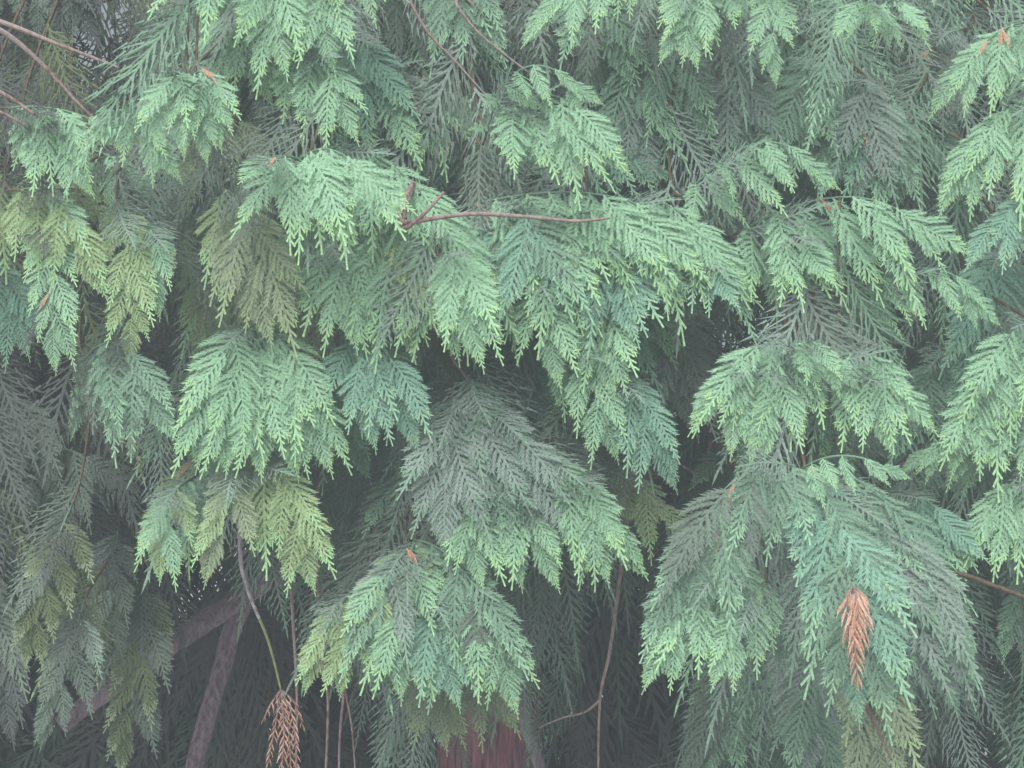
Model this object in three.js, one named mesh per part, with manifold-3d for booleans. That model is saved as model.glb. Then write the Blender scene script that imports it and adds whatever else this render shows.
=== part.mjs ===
// A young western red cedar, rooted in the ground: a straight red-brown trunk with a flared foot,
// tiers of boughs that leave it at a slight rise and then bow down towards their tips, and a mass of
// flat, toothed, hanging sprays at the end of each bough. Millimetres, +Z up, ground level at z = 0.
// The crown is seen from the side of -Y.
import * as THREE from "three";
import { mergeVertices } from "three/addons/utils/BufferGeometryUtils.js";
import Module from "manifold-3d";

const wasm = await Module();
wasm.setup();

// Driving dimensions
const TREE_HEIGHT = 6500;
const CROWN_RADIUS = 1450; // reach of the lowest tier of boughs
const CROWN_APEX = TREE_HEIGHT + 250; // the crown's side runs to this height
const CROWN_ROUNDING = 0.82; // under 1 the side of the crown is a little rounded
const BOUGHS_IN_TIER = [6, 6, 6, 5, 5, 4, 3, 3]; // from the lowest tier up
const TIERS_WITH_LIMBS = 3; // above these the boughs are bare so briefly that they belong to their foliage
const FIRST_TIER_HEIGHT = 1560;
const TIER_STEP = 650; // height between the two lowest tiers
const TIER_STEP_LOSS = 26; // each step is this much less than the one under it
const HEIGHT_SPREAD = 140; // most that a bough leaves the trunk above or below its tier's height
const HEADING_SPREAD = 5; // degrees that a bough turns from the middle of its wedge
const SIDE_BEND = 0.05; // most that a bough bends to a side, as a share of its reach
const EVEN_TIER_TURN = 10; // degrees of the first bough of a tier from the side of -Y
const ODD_TIER_TURN = -14;

// Slopes of a bough where it leaves the trunk, and its tip's height over its reach: lowest and highest tier
const RISE = [0.3, 0.95];
const TIP_HEIGHT = [-0.24, 0.3];

const TRUNK_TIP_HEIGHT = 5720; // the leading shoot and its sprays stand on the trunk's tip
const TRUNK_FOOT_RADIUS = 99;
const TRUNK_TIP_RADIUS = 9;
const TRUNK_TAPER = 0.85;
const TRUNK_SIDES = 18;
const TRUNK_RINGS = 14;
const RING_CROWDING = 1.9; // rings crowd towards the flared foot
const FLARE = 58; // how far the roots swell the foot at the ground
const FLARE_HEIGHT = 170;
const ROOT_LOBES = 5;
const LOBE_DEPTH = 0.45;
const LOBE_TURN = 0.6;
const LEAN = 90; // how far the tip stands to the side of the foot
const SWAY = 24;

const BOUGH_RADIUS = 21; // of the lowest boughs where they leave the trunk
const HIGHEST_BOUGH_RADIUS = 10;
const BOUGH_TIP_RADIUS = 5;
const BOUGH_TAPER = 0.8;
const BARE_SHARE = 0.42; // share of a low bough that has no foliage
const HEADROOM = 60; // of a bough's own space above its line
const MARGIN = 6; // between foliage and the edge of its space
const LOWEST_DROP = 760; // depth of the space of the lowest tier
const FREE_GAP = 0.3; // between solids that meet
const CLEARANCE = 3; // between foliage and any limb or other mass

const TWIGS = [5, 4]; // on a low bough and on a high one
const FIRST_TWIG_SHARE = [0.46, 0.3]; // of a low bough's line and of a high one's
const LAST_TWIG_SHARE = 0.84;
const TWIG_SPREAD = [58, 48]; // degrees between a twig and its bough, near the trunk and near the tip
const TWIG_LENGTH = [0.5, 0.66]; // shares of the half width of the bough's wedge
const WIDEST_HALF_WEDGE = 0.75; // radians that count for a twig's length
const TWIG_DROOP = [0.28, 0.42]; // shares of the twig's length
const TWIG_SHARE = 0.6; // a twig's thickness where it leaves its stem, as a share of the stem's
const MIDDLE_SPRAYS = [2, 0]; // twigs of a low bough and of a high one with a spray half way along

const LONGEST_SPRAY = 620; // a hanging spray of the lowest tier
const SHORTEST_SPRAY = 470;
const END_SPRAY = [0.9, 1.08]; // lengths at a twig's end, half way along it and at the bough's tip,
const MIDDLE_SPRAY = [0.68, 0.84]; // as shares of the tier's spray
const TIP_SPRAY = [0.6, 0.75];
const SPRAY_WIDTH = 0.56; // of a spray's length
const WIDTH_SPREAD = [0.88, 1.08];
const SPRAY_THICKNESS = 15;
const BOW = 0.1; // how far a spray's tip bends out of its plane, as a share of its length
const SPRAY_ROOT_RADIUS = 5;
const TEETH = [
  // tips of a spray's teeth and the notches between them, as shares of half its width and of its length
  [1.0, 0.44],
  [0.6, 0.5],
  [0.74, 0.74],
];
const PEAK = 0.35; // where a spray is thickest, as a share of its length
const STUB = 27; // the short twig of a spray that hangs straight from a twig or stem
const TURNS = [0, 0.5, -0.5, 1, -1]; // turns tried for a spray that would touch or leave its space
const SHORTER = [1, 0.8, 0.62]; // and shares of its length

const LEADER_SPRAYS = 11;
const LEADER_SEED = 900;
const LEADER_STEPS = 3;
const LEADER_NOD = [0.2, -0.08]; // of the shoot's height, towards +X and +Y
const RISING_FROM = 0.35; // share of the leading shoot above which its sprays rise
const LEADER_TWIG = [190, 30]; // reach of its lowest and highest twig
const LEADER_TWIG_RISE = [110, 20];
const LEADER_SPRAY = [400, 170];
const GOLDEN_ANGLE = THREE.MathUtils.degToRad(137.5);

const UP = new THREE.Vector3(0, 0, 1);
const AHEAD = new THREE.Vector3(0, 1, 0);

// The same run of numbers from 0 to 1 for the same seed.
function numbersFrom(seed) {
  let state = (seed * 7919 + 104729) >>> 0;
  return () => {
    state = (Math.imul(state, 1664525) + 1013904223) >>> 0;
    return state / 4294967296;
  };
}

const between = (low, high, share) => low + (high - low) * share;

// A closed geometry as a solid that can be joined and cut.
function solid(geometry) {
  const bare = geometry.clone();
  bare.deleteAttribute("normal");
  bare.deleteAttribute("uv");
  const merged = mergeVertices(bare, 1e-3);
  return new wasm.Manifold(
    new wasm.Mesh({
      numProp: 3,
      vertProperties: Float32Array.from(merged.attributes.position.array),
      triVerts: Uint32Array.from(merged.index.array),
    }),
  );
}

// A solid as a three.js mesh.
function meshOf(made, name, material) {
  const { vertProperties, triVerts } = made.getMesh();
  const geometry = new THREE.BufferGeometry();
  geometry.setAttribute("position", new THREE.BufferAttribute(vertProperties, 3));
  geometry.setIndex(new THREE.BufferAttribute(triVerts, 1));
  geometry.computeVertexNormals();
  const mesh = new THREE.Mesh(geometry, material);
  mesh.name = name;
  return mesh;
}

// A round limb along a curve: a cylinder whose rings are set square to the curve.
// radiusAt gives the radius at a share of the curve, and across is a direction that the curve never takes.
function limb(curve, radiusAt, sides, steps, { from = 0, to = 1, across = UP } = {}) {
  const geometry = new THREE.CylinderGeometry(1, 1, 1, sides, steps);
  const position = geometry.attributes.position;
  for (let i = 0; i < position.count; i++) {
    const share = between(from, to, position.getY(i) + 0.5);
    const ring = Math.hypot(position.getX(i), position.getZ(i)) > 1e-6 ? 1 : 0;
    const angle = Math.atan2(position.getZ(i), position.getX(i));
    const along = curve.getTangent(share);
    const side = new THREE.Vector3().crossVectors(along, across).normalize();
    const lift = new THREE.Vector3().crossVectors(side, along);
    const radius = ring * radiusAt(share);
    const point = curve
      .getPoint(share)
      .addScaledVector(side, radius * Math.cos(angle))
      .addScaledVector(lift, radius * Math.sin(angle));
    position.setXYZ(i, point.x, point.y, point.z);
  }
  return geometry;
}

// A point on the straight stretches of a limb that runs in equal steps to the end of its curve.
function onLimb(curve, share, from, steps) {
  const place = ((share - from) / (1 - from)) * steps;
  const step = Math.min(Math.floor(place), steps - 1);
  const ringCentre = (i) => curve.getPoint(between(from, 1, i / steps));
  return ringCentre(step).lerp(ringCentre(step + 1), place - step);
}

// The trunk's centre line leans a little and sways once on its way up.
class TrunkLine extends THREE.Curve {
  getPoint(share, target = new THREE.Vector3()) {
    const lean = LEAN * share * share;
    const sway = SWAY * Math.sin(2 * Math.PI * share);
    return target.set(lean, sway, TRUNK_TIP_HEIGHT * share);
  }

  getTangent(share, target = new THREE.Vector3()) {
    const slope = 2 * LEAN * share;
    const swing = 2 * Math.PI * SWAY * Math.cos(2 * Math.PI * share);
    return target.set(slope, share > 0 ? swing : 0, TRUNK_TIP_HEIGHT).normalize();
  }
}

const trunkLine = new TrunkLine();
const trunkAt = (height) => trunkLine.getPoint(height / TRUNK_TIP_HEIGHT);

// The trunk's radius: an even taper, and root lobes that fade out above the ground.
function trunkRadius(share, angle) {
  const taper = between(TRUNK_TIP_RADIUS, TRUNK_FOOT_RADIUS, Math.pow(1 - share, TRUNK_TAPER));
  const lobe = 1 + LOBE_DEPTH * Math.cos(ROOT_LOBES * angle + LOBE_TURN);
  return taper + FLARE * lobe * Math.exp((-share * TRUNK_TIP_HEIGHT) / FLARE_HEIGHT);
}

// The trunk, or one a little thicker with which its neighbours are cut clear of it.
function trunkSolid(extra) {
  const geometry = new THREE.CylinderGeometry(1, 1, 1, TRUNK_SIDES, TRUNK_RINGS);
  const position = geometry.attributes.position;
  for (let i = 0; i < position.count; i++) {
    const share = Math.pow(position.getY(i) + 0.5, RING_CROWDING);
    const ring = Math.hypot(position.getX(i), position.getZ(i)) > 1e-6 ? 1 : 0;
    const angle = Math.atan2(position.getZ(i), position.getX(i));
    const radius = ring * (trunkRadius(share, angle) + extra);
    const centre = trunkLine.getPoint(share);
    position.setXYZ(i, centre.x - radius * Math.cos(angle), centre.y + radius * Math.sin(angle), centre.z);
  }
  return solid(geometry);
}

// Tier numbers count from 0 at the bottom.
const tierHeight = (tier) => FIRST_TIER_HEIGHT + TIER_STEP * tier - (TIER_STEP_LOSS * tier * (tier - 1)) / 2;
const lastTier = BOUGHS_IN_TIER.length - 1;
const byTier = ([lowest, highest], tier) => between(lowest, highest, tier / lastTier);
const isLow = (bough) => bough.tier < TIERS_WITH_LIMBS;

// The crown is a cone with a slightly rounded side.
function tierReach(tier) {
  const left = (CROWN_APEX - tierHeight(tier)) / (CROWN_APEX - FIRST_TIER_HEIGHT);
  return CROWN_RADIUS * Math.pow(left, CROWN_ROUNDING);
}

// The height of a tier's boughs at a distance from the trunk.
function tierSurface(tier, distance) {
  const rise = byTier(RISE, tier);
  const fall = (rise - byTier(TIP_HEIGHT, tier)) / tierReach(tier);
  return tierHeight(tier) + rise * distance - fall * distance * distance;
}

// The heading of the middle of a bough's wedge, from the side of -Y towards +X.
const wedgeAngle = (tier) => (2 * Math.PI) / BOUGHS_IN_TIER[tier];
const tierTurn = (tier) => THREE.MathUtils.degToRad(tier % 2 === 0 ? EVEN_TIER_TURN : ODD_TIER_TURN);

// Every bough of the tree, tier by tier, with the wedge of the crown that belongs to it.
function allBoughs() {
  return BOUGHS_IN_TIER.map((count, tier) =>
    Array.from({ length: count }, (_, i) => {
      const random = numbersFrom(100 * tier + i + 1);
      const centre = tierTurn(tier) + wedgeAngle(tier) * i;
      const heading = centre + THREE.MathUtils.degToRad(between(-HEADING_SPREAD, HEADING_SPREAD, random()));
      const reach = tierReach(tier) * between(0.9, 1.05, random());
      const offset = between(-HEIGHT_SPREAD, HEIGHT_SPREAD, random());
      const sideways = between(-SIDE_BEND, SIDE_BEND, random()) * reach;
      const outward = new THREE.Vector3(Math.sin(heading), -Math.cos(heading), 0);
      const side = new THREE.Vector3(Math.cos(heading), Math.sin(heading), 0);
      const start = trunkAt(tierHeight(tier) + offset);
      const middle = start
        .clone()
        .addScaledVector(outward, reach / 2)
        .addScaledVector(side, sideways)
        .addScaledVector(UP, (byTier(RISE, tier) * reach) / 2);
      const end = start
        .clone()
        .addScaledVector(outward, reach)
        .addScaledVector(UP, byTier(TIP_HEIGHT, tier) * reach);
      return {
        name: `${tier + 1}${"abcdef"[i]}`,
        tier,
        random,
        centre,
        outward,
        side,
        reach,
        offset,
        line: new THREE.QuadraticBezierCurve3(start, middle, end),
        thickness: byTier([BOUGH_RADIUS, HIGHEST_BOUGH_RADIUS], tier),
      };
    }),
  );
}

const tiers = allBoughs();
const boughs = tiers.flat();

// The top of a bough's own space, at a distance from the trunk.
const spaceTop = (bough, distance) => tierSurface(bough.tier, distance) + bough.offset + HEADROOM;

// The bough of a tier whose wedge holds a heading.
function boughToward(tier, heading) {
  const count = BOUGHS_IN_TIER[tier];
  const place = Math.round((heading - tierTurn(tier)) / wedgeAngle(tier));
  return tiers[tier][((place % count) + count) % count];
}

// A bough's radius falls evenly to its tip.
function boughRadius(bough, share) {
  return between(bough.thickness, BOUGH_TIP_RADIUS, Math.pow(share, BOUGH_TAPER));
}

// True where a point lies in the part of the crown that belongs to a bough: its own wedge, from just
// above its line down to just above the bough below.
function inOwnSpace(bough, point) {
  const out = Math.hypot(point.x, point.y);
  const heading = Math.atan2(point.x, -point.y);
  const turn = heading - bough.centre;
  const aside = Math.abs(turn - 2 * Math.PI * Math.round(turn / (2 * Math.PI)));
  const left = wedgeAngle(bough.tier) / 2 - aside;
  if (left < 0 || out * Math.sin(left) < MARGIN) return false;
  const floor =
    bough.tier > 0 ? spaceTop(boughToward(bough.tier - 1, heading), out) : spaceTop(bough, out) - LOWEST_DROP;
  return point.z > floor + MARGIN && point.z < spaceTop(bough, out);
}

// A twig that ends in a flat spray: a three-sided limb along a line, and a toothed blade that goes on
// from its last ring. The blade hangs along one direction, faces another, and is thin at its edge,
// with a low peak on each face.
function sprig({ line, radius, steps, hang, face, length, random }) {
  const points = [];
  const faces = [];
  const frame = (along) => {
    const across = new THREE.Vector3().crossVectors(along, face).normalize();
    return { along, across, out: new THREE.Vector3().crossVectors(across, along) };
  };
  const put = (centre, { along, across, out }, x, y, z) => {
    points.push(centre.clone().addScaledVector(across, x).addScaledVector(along, y).addScaledVector(out, z));
    return points.length - 1;
  };

  const ringAt = (step) => {
    const share = step / steps;
    const set = frame(step === steps ? hang : line.getTangent(share));
    const thick = between(radius, SPRAY_ROOT_RADIUS, share);
    const centre = line.getPoint(share);
    return [put(centre, set, thick, 0, 0), put(centre, set, 0, 0, thick), put(centre, set, -thick, 0, 0)];
  };
  let ring = ringAt(0);
  faces.push(ring);
  for (let step = 1; step <= steps; step++) {
    const next = ringAt(step);
    ring.forEach((corner, i) => {
      const j = (i + 1) % 3;
      faces.push([ring[j], corner, next[i]], [ring[j], next[i], next[j]]);
    });
    ring = next;
  }

  const [right, crest, left] = ring;
  const foot = line.getPoint(1);
  const set = frame(hang);
  const bow = (y) => -BOW * length * y * y;
  const half = (length * SPRAY_WIDTH) / 2;
  const edge = (hand) =>
    TEETH.map(([x, y]) => {
      const reach = hand * x * half * between(...WIDTH_SPREAD, random());
      return put(foot, set, reach, y * length, bow(y));
    });
  const rightEdge = edge(1);
  const tip = put(foot, set, 0, length, bow(1));
  const leftEdge = edge(-1);
  const outline = [right, ...rightEdge, tip, ...leftEdge.reverse(), left];
  const peak = put(foot, set, 0, PEAK * length, bow(PEAK) + SPRAY_THICKNESS / 2);
  const under = put(foot, set, 0, PEAK * length, bow(PEAK) - SPRAY_THICKNESS / 2);
  for (let i = 1; i < outline.length; i++) {
    faces.push([peak, outline[i - 1], outline[i]], [under, outline[i], outline[i - 1]]);
  }
  faces.push([crest, right, peak], [crest, peak, left], [under, right, left]);

  const geometry = new THREE.BufferGeometry().setFromPoints(points);
  geometry.setIndex(faces.flat());
  return geometry;
}

const everyPoint = (geometry, test) => {
  const position = geometry.attributes.position;
  const point = new THREE.Vector3();
  for (let i = 0; i < position.count; i++) {
    if (!test(point.fromBufferAttribute(position, i))) return false;
  }
  return true;
};

// True where a solid stays clear of each of the others.
const clearOf = (made, others) => others.every((other) => made.minGap(other, CLEARANCE) >= CLEARANCE);

// Where the stem of a bough's foliage begins, as a share of the bough's line, and its steps from there.
const stemFrom = (bough) => (isLow(bough) ? BARE_SHARE + FREE_GAP / bough.reach : 0);
const stemSteps = (bough) => (isLow(bough) ? 3 : 4);
const onStem = (bough, share) => onLimb(bough.line, share, stemFrom(bough), stemSteps(bough));

// The way a spray hangs: down, leaning along its twig and out from the trunk.
function hanging(bough, heading, lean) {
  return new THREE.Vector3(0, 0, -1)
    .addScaledVector(heading, lean)
    .addScaledVector(bough.outward, between(0.05, 0.3, bough.random()))
    .normalize();
}

// A side twig that leaves its bough on one hand and bows down to the spray at its end.
function twigOf(bough, share, hand, size) {
  const { outward, random } = bough;
  const point = onStem(bough, share);
  const halfWedge = Math.min(wedgeAngle(bough.tier) / 2, WIDEST_HALF_WEDGE);
  const length = Math.hypot(point.x, point.y) * Math.tan(halfWedge) * between(...TWIG_LENGTH, random());
  const spread = THREE.MathUtils.degToRad(between(...TWIG_SPREAD, share));
  const heading = outward.clone().applyAxisAngle(UP, hand * spread);
  const middle = point.clone().addScaledVector(heading, length * 0.55);
  const end = point
    .clone()
    .addScaledVector(heading, length)
    .addScaledVector(UP, -length * between(...TWIG_DROOP, random()));
  return {
    line: new THREE.QuadraticBezierCurve3(point, middle, end),
    radius: TWIG_SHARE * boughRadius(bough, share),
    steps: 2,
    hang: hanging(bough, heading, 0.7),
    heading,
    length: size * between(...END_SPRAY, random()),
  };
}

// A spray that hangs straight down from half way along a twig, which is numbered as its carrier.
function middleOf(bough, twig, carrier, size) {
  const point = twig.line.getPoint(0.5);
  const hang = hanging(bough, twig.heading, 0.15);
  return {
    line: new THREE.LineCurve3(point, point.clone().addScaledVector(hang, STUB)),
    radius: TWIG_SHARE * SPRAY_ROOT_RADIUS,
    steps: 1,
    hang,
    heading: twig.heading,
    length: size * between(...MIDDLE_SPRAY, bough.random()),
    carrier,
  };
}

// The spray that goes on from a bough's tip.
function tipOf(bough, size) {
  const point = onStem(bough, 0.97);
  const onward = bough.line.getTangent(1);
  return {
    line: new THREE.LineCurve3(point, point.clone().addScaledVector(onward, 2 * STUB)),
    radius: TWIG_SHARE * BOUGH_TIP_RADIUS,
    steps: 1,
    hang: onward.clone().addScaledVector(UP, -0.5).normalize(),
    heading: bough.outward,
    length: size * between(...TIP_SPRAY, bough.random()),
  };
}

// The sprigs of a bough: side twigs by turns on either hand, sprays half way along the first of them,
// and the spray at the bough's tip.
function sprigsOf(bough) {
  const kind = isLow(bough) ? 0 : 1;
  const size = byTier([LONGEST_SPRAY, SHORTEST_SPRAY], bough.tier);
  const plans = [];
  for (let i = 0; i < TWIGS[kind]; i++) {
    const share = between(FIRST_TWIG_SHARE[kind], LAST_TWIG_SHARE, i / (TWIGS[kind] - 1));
    const twig = twigOf(bough, share, i % 2 === 0 ? 1 : -1, size);
    plans.push(twig);
    if (i < MIDDLE_SPRAYS[kind]) plans.push(middleOf(bough, twig, plans.length - 1, size));
  }
  plans.push(tipOf(bough, size));
  return plans;
}

// A stem with its sprigs in one solid. A sprig that would leave the mass's own space, or come near a limb,
// another mass or a sprig that doesn't carry it, is turned about its own length or shortened, or left out.
function massOf(stem, plans, facing, random, inSpace, obstacles) {
  let mass = stem;
  const grown = [];
  const attempts = SHORTER.flatMap((scale) => TURNS.map((turn) => ({ scale, turn })));
  plans.forEach((plan, i) => {
    const others = grown.filter((other, j) => other && j !== plan.carrier);
    grown[i] = null;
    if (plan.carrier !== undefined && !grown[plan.carrier]) return;
    for (const { scale, turn } of attempts) {
      const length = plan.length * scale;
      const geometry = sprig({ ...plan, length, face: facing(plan, turn), random });
      if (!everyPoint(geometry, inSpace)) continue;
      const made = solid(geometry);
      if (!clearOf(made, obstacles) || !clearOf(made, others)) continue;
      grown[i] = made;
      mass = mass.add(made);
      return;
    }
  });
  return mass;
}

// The mass of foliage of one bough: the bough's own outer stretch, its twigs and their sprays.
function foliageOf(bough, cutter, obstacles) {
  const from = stemFrom(bough);
  const stem = solid(limb(bough.line, (share) => boughRadius(bough, share), 4, stemSteps(bough), { from }));
  return massOf(
    isLow(bough) ? stem : stem.subtract(cutter),
    sprigsOf(bough),
    (plan, turn) => plan.heading.clone().applyAxisAngle(UP, turn).addScaledVector(UP, 0.4),
    bough.random,
    (point) => inOwnSpace(bough, point),
    obstacles,
  );
}

// The mass at the top: the leading shoot stands on the trunk's tip and nods to one side, with sprays
// all round it that hang low down and rise higher up, each a golden angle on from the one below.
function topOf(obstacles) {
  const random = numbersFrom(LEADER_SEED);
  const foot = trunkAt(TRUNK_TIP_HEIGHT).addScaledVector(UP, FREE_GAP);
  const height = TREE_HEIGHT - foot.z;
  const bend = foot.clone().addScaledVector(UP, 0.7 * height);
  const end = new THREE.Vector3(LEADER_NOD[0] * height, LEADER_NOD[1] * height, height).add(foot);
  const line = new THREE.QuadraticBezierCurve3(foot, bend, end);
  const radiusAt = (share) => between(TRUNK_TIP_RADIUS - 1, 3, share);
  const stem = solid(limb(line, radiusAt, 4, LEADER_STEPS, { across: AHEAD }));
  const plans = Array.from({ length: LEADER_SPRAYS }, (_, i) => {
    const share = between(0.06, 0.92, i / (LEADER_SPRAYS - 1));
    const outward = new THREE.Vector3(Math.cos(i * GOLDEN_ANGLE), Math.sin(i * GOLDEN_ANGLE), 0);
    const point = onLimb(line, share, 0, LEADER_STEPS);
    const twigEnd = point
      .clone()
      .addScaledVector(outward, between(...LEADER_TWIG, share))
      .addScaledVector(UP, between(...LEADER_TWIG_RISE, share));
    return {
      line: new THREE.LineCurve3(point, twigEnd),
      radius: TWIG_SHARE * SPRAY_ROOT_RADIUS,
      steps: 1,
      hang: outward.clone().addScaledVector(UP, share < RISING_FROM ? -1.2 : 1.4).normalize(),
      heading: outward,
      length: between(...LEADER_SPRAY, share) * between(0.9, 1.05, random()),
    };
  });
  const facing = (plan, turn) =>
    plan.heading.clone().applyAxisAngle(UP, turn).multiplyScalar(-Math.sign(plan.hang.z));
  const floor = spaceTop(tiers[lastTier][0], 0);
  const inSpace = (point) => point.z > floor && point.z < TREE_HEIGHT;
  return massOf(stem, plans, facing, random, inSpace, obstacles);
}

const BARK = new THREE.MeshStandardMaterial({ color: 0x6b4a40, roughness: 0.95, metalness: 0 });
const LIMB_BARK = new THREE.MeshStandardMaterial({ color: 0x7a5f55, roughness: 0.9, metalness: 0 });
const SPRAYS = new THREE.MeshStandardMaterial({ color: 0x5f8b66, roughness: 0.6, metalness: 0 });

const tree = new THREE.Group();
const trunk = trunkSolid(0);
const cutter = trunkSolid(FREE_GAP);
const solids = [trunk];
tree.add(meshOf(trunk, "trunk", BARK));

boughs.filter(isLow).forEach((bough) => {
  const geometry = limb(bough.line, (share) => boughRadius(bough, share), 5, 3, { to: BARE_SHARE });
  const made = solid(geometry).subtract(cutter);
  solids.push(made);
  tree.add(meshOf(made, `bough_${bough.name}`, LIMB_BARK));
});

boughs.forEach((bough) => {
  const mass = foliageOf(bough, cutter, solids);
  solids.push(mass);
  tree.add(meshOf(mass, `foliage_${bough.name}`, SPRAYS));
});
tree.add(meshOf(topOf(solids), "foliage_top", SPRAYS));

export default tree;
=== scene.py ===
import math
from dataclasses import dataclass

import bmesh
import bpy
import numpy as np
from mathutils import Matrix, Vector, noise


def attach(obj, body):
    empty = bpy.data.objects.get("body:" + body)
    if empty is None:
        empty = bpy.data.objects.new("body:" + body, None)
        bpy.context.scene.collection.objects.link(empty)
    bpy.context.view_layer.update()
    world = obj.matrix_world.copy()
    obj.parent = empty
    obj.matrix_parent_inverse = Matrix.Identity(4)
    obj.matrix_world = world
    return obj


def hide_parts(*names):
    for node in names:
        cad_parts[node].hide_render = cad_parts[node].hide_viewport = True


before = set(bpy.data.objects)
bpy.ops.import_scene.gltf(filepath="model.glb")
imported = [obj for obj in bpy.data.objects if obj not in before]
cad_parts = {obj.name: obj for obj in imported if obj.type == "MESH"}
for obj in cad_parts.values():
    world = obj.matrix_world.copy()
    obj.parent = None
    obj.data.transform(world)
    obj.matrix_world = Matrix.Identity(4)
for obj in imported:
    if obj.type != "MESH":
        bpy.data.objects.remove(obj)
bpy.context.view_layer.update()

# The view of the crown from the side of -Y, level with the sprays that hang from the second tier of
# boughs. A real camera with a long lens would stand there, about a metre and a half from the foliage.
PHOTO_WIDTH = 1024
PHOTO_HEIGHT = 768
SENSOR = 36.0
LENS = 66.0
STAND = Vector((0.04, -3.05, 1.62))
lens = bpy.data.cameras.new("camera")
lens.sensor_width = SENSOR
lens.lens = LENS
lens.clip_start = 0.05
camera = bpy.data.objects.new("camera", lens)
camera.location = STAND
camera.rotation_euler = (math.radians(90), 0, 0)
bpy.context.scene.collection.objects.link(camera)
bpy.context.scene.camera = camera


def seen_at(across, down, y):
    """The point of the plane at y that the view shows at a pixel of the 1024 by 768 frame."""
    pixel = (y - STAND.y) * SENSOR / LENS / PHOTO_WIDTH
    x = STAND.x + (across - PHOTO_WIDTH / 2) * pixel
    z = STAND.z + (PHOTO_HEIGHT / 2 - down) * pixel
    return Vector((x, y, z))


# The floor and the light of a plain studio: a dull ground sheet that runs far behind the tree and looks
# pale under the light, which is as even and soft as on a dull day. Most of it comes from above and in
# front.
FLOOR_HALF = 150.0
FLOOR_COLOUR = (0.25, 0.25, 0.245, 1)
AIR_COLOUR = (0.74, 0.82, 0.90, 1)
AIR_STRENGTH = 0.60
sheet = bmesh.new()
bmesh.ops.create_grid(sheet, x_segments=2, y_segments=2, size=FLOOR_HALF)
floor_mesh = bpy.data.meshes.new("floor")
sheet.to_mesh(floor_mesh)
sheet.free()
floor = bpy.data.objects.new("floor", floor_mesh)
bpy.context.scene.collection.objects.link(floor)
floor_finish = bpy.data.materials.new("floor")
floor_finish.use_nodes = True
floor_shader = floor_finish.node_tree.nodes["Principled BSDF"]
floor_shader.inputs["Base Color"].default_value = FLOOR_COLOUR
floor_shader.inputs["Roughness"].default_value = 0.9
floor_mesh.materials.append(floor_finish)

world = bpy.data.worlds.new("studio")
world.use_nodes = True
air = world.node_tree.nodes["Background"]
air.inputs["Color"].default_value = AIR_COLOUR
air.inputs["Strength"].default_value = AIR_STRENGTH
bpy.context.scene.world = world


def soft_light(name, place, strength, spread, colour):
    """An even light over the whole floor, from the side of a place and spread over an angle."""
    light = bpy.data.lights.new(name, "SUN")
    light.energy = strength
    light.angle = math.radians(spread)
    light.color = colour
    lamp = bpy.data.objects.new(name, light)
    lamp.rotation_euler = (-Vector(place)).to_track_quat("-Z", "Y").to_euler()
    bpy.context.scene.collection.objects.link(lamp)


soft_light("front_light", place=(-4.0, -10.0, 10.2), strength=4.8, spread=55, colour=(1.0, 0.98, 0.94))
soft_light("top_light", place=(1.0, 0.5, 10.0), strength=2.8, spread=150, colour=(0.95, 0.98, 1.0))
soft_light("back_light", place=(4.0, 10.0, 7.0), strength=2.2, spread=90, colour=(0.96, 0.98, 1.0))


# The view is a little hazy, as on a damp dull day. A share of one dim blue-grey is mixed into the whole
# of it, so that its darkest places are never black.
HAZE_COLOUR = (0.16, 0.185, 0.20, 1)
HAZE_SHARE = 0.30
picture = bpy.context.scene
picture.view_settings.view_transform = "Standard"
picture.view_settings.exposure = 0.0
picture.use_nodes = True
treated = picture.node_tree
treated.nodes.clear()
taken = treated.nodes.new("CompositorNodeRLayers")
haze = treated.nodes.new("CompositorNodeMixRGB")
haze.inputs[0].default_value = HAZE_SHARE
haze.inputs[2].default_value = HAZE_COLOUR
shown = treated.nodes.new("CompositorNodeComposite")
treated.links.new(taken.outputs["Image"], haze.inputs[1])
treated.links.new(haze.outputs["Image"], shown.inputs["Image"])


# The trunk is one straight stem of soft, light wood, about 0.2 m thick above a foot that the roots swell
# into five lobes. It leans a little and sways once. Its bark grows in long, narrow, fibrous strips that
# part into shallow furrows as the stem thickens.
TREE_HEIGHT = 6.5
TRUNK_TIP_HEIGHT = 5.72
TRUNK_FOOT_RADIUS = 0.099
TRUNK_TIP_RADIUS = 0.009
TRUNK_TAPER = 0.85
FLARE = 0.058
FLARE_HEIGHT = 0.17
ROOT_LOBES = 5
LOBE_DEPTH = 0.45
LOBE_TURN = 0.6
LEAN = 0.09
SWAY = 0.024
TRUNK_SIDES = 128
TRUNK_RINGS = 250
RING_CROWDING = 1.5
STRIP_DEPTH = 0.0045
FURROW_DEPTH = 0.007
FULL_RELIEF_RADIUS = 0.06
TRUNK_GRAIN = 42
STRIP_WANDER = 0.35
WANDER_GRAIN = 9
WANDER_RISE = 3
STRIP_STRETCH = 0.07
FIBRES_TO_A_STRIP = 3.1
FIBRE_STRETCH = 0.16
FURROW_SHARPNESS = 5
STRIP_SHARE = 0.9
FIBRE_SHARE = 0.3
FURROW_SHARE = 0.5


def between(low, high, share):
    return low + (high - low) * share


def trunk_at(height):
    """The trunk's centre at a height."""
    share = height / TRUNK_TIP_HEIGHT
    return Vector((LEAN * share * share, SWAY * math.sin(2 * math.pi * share), height))


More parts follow.
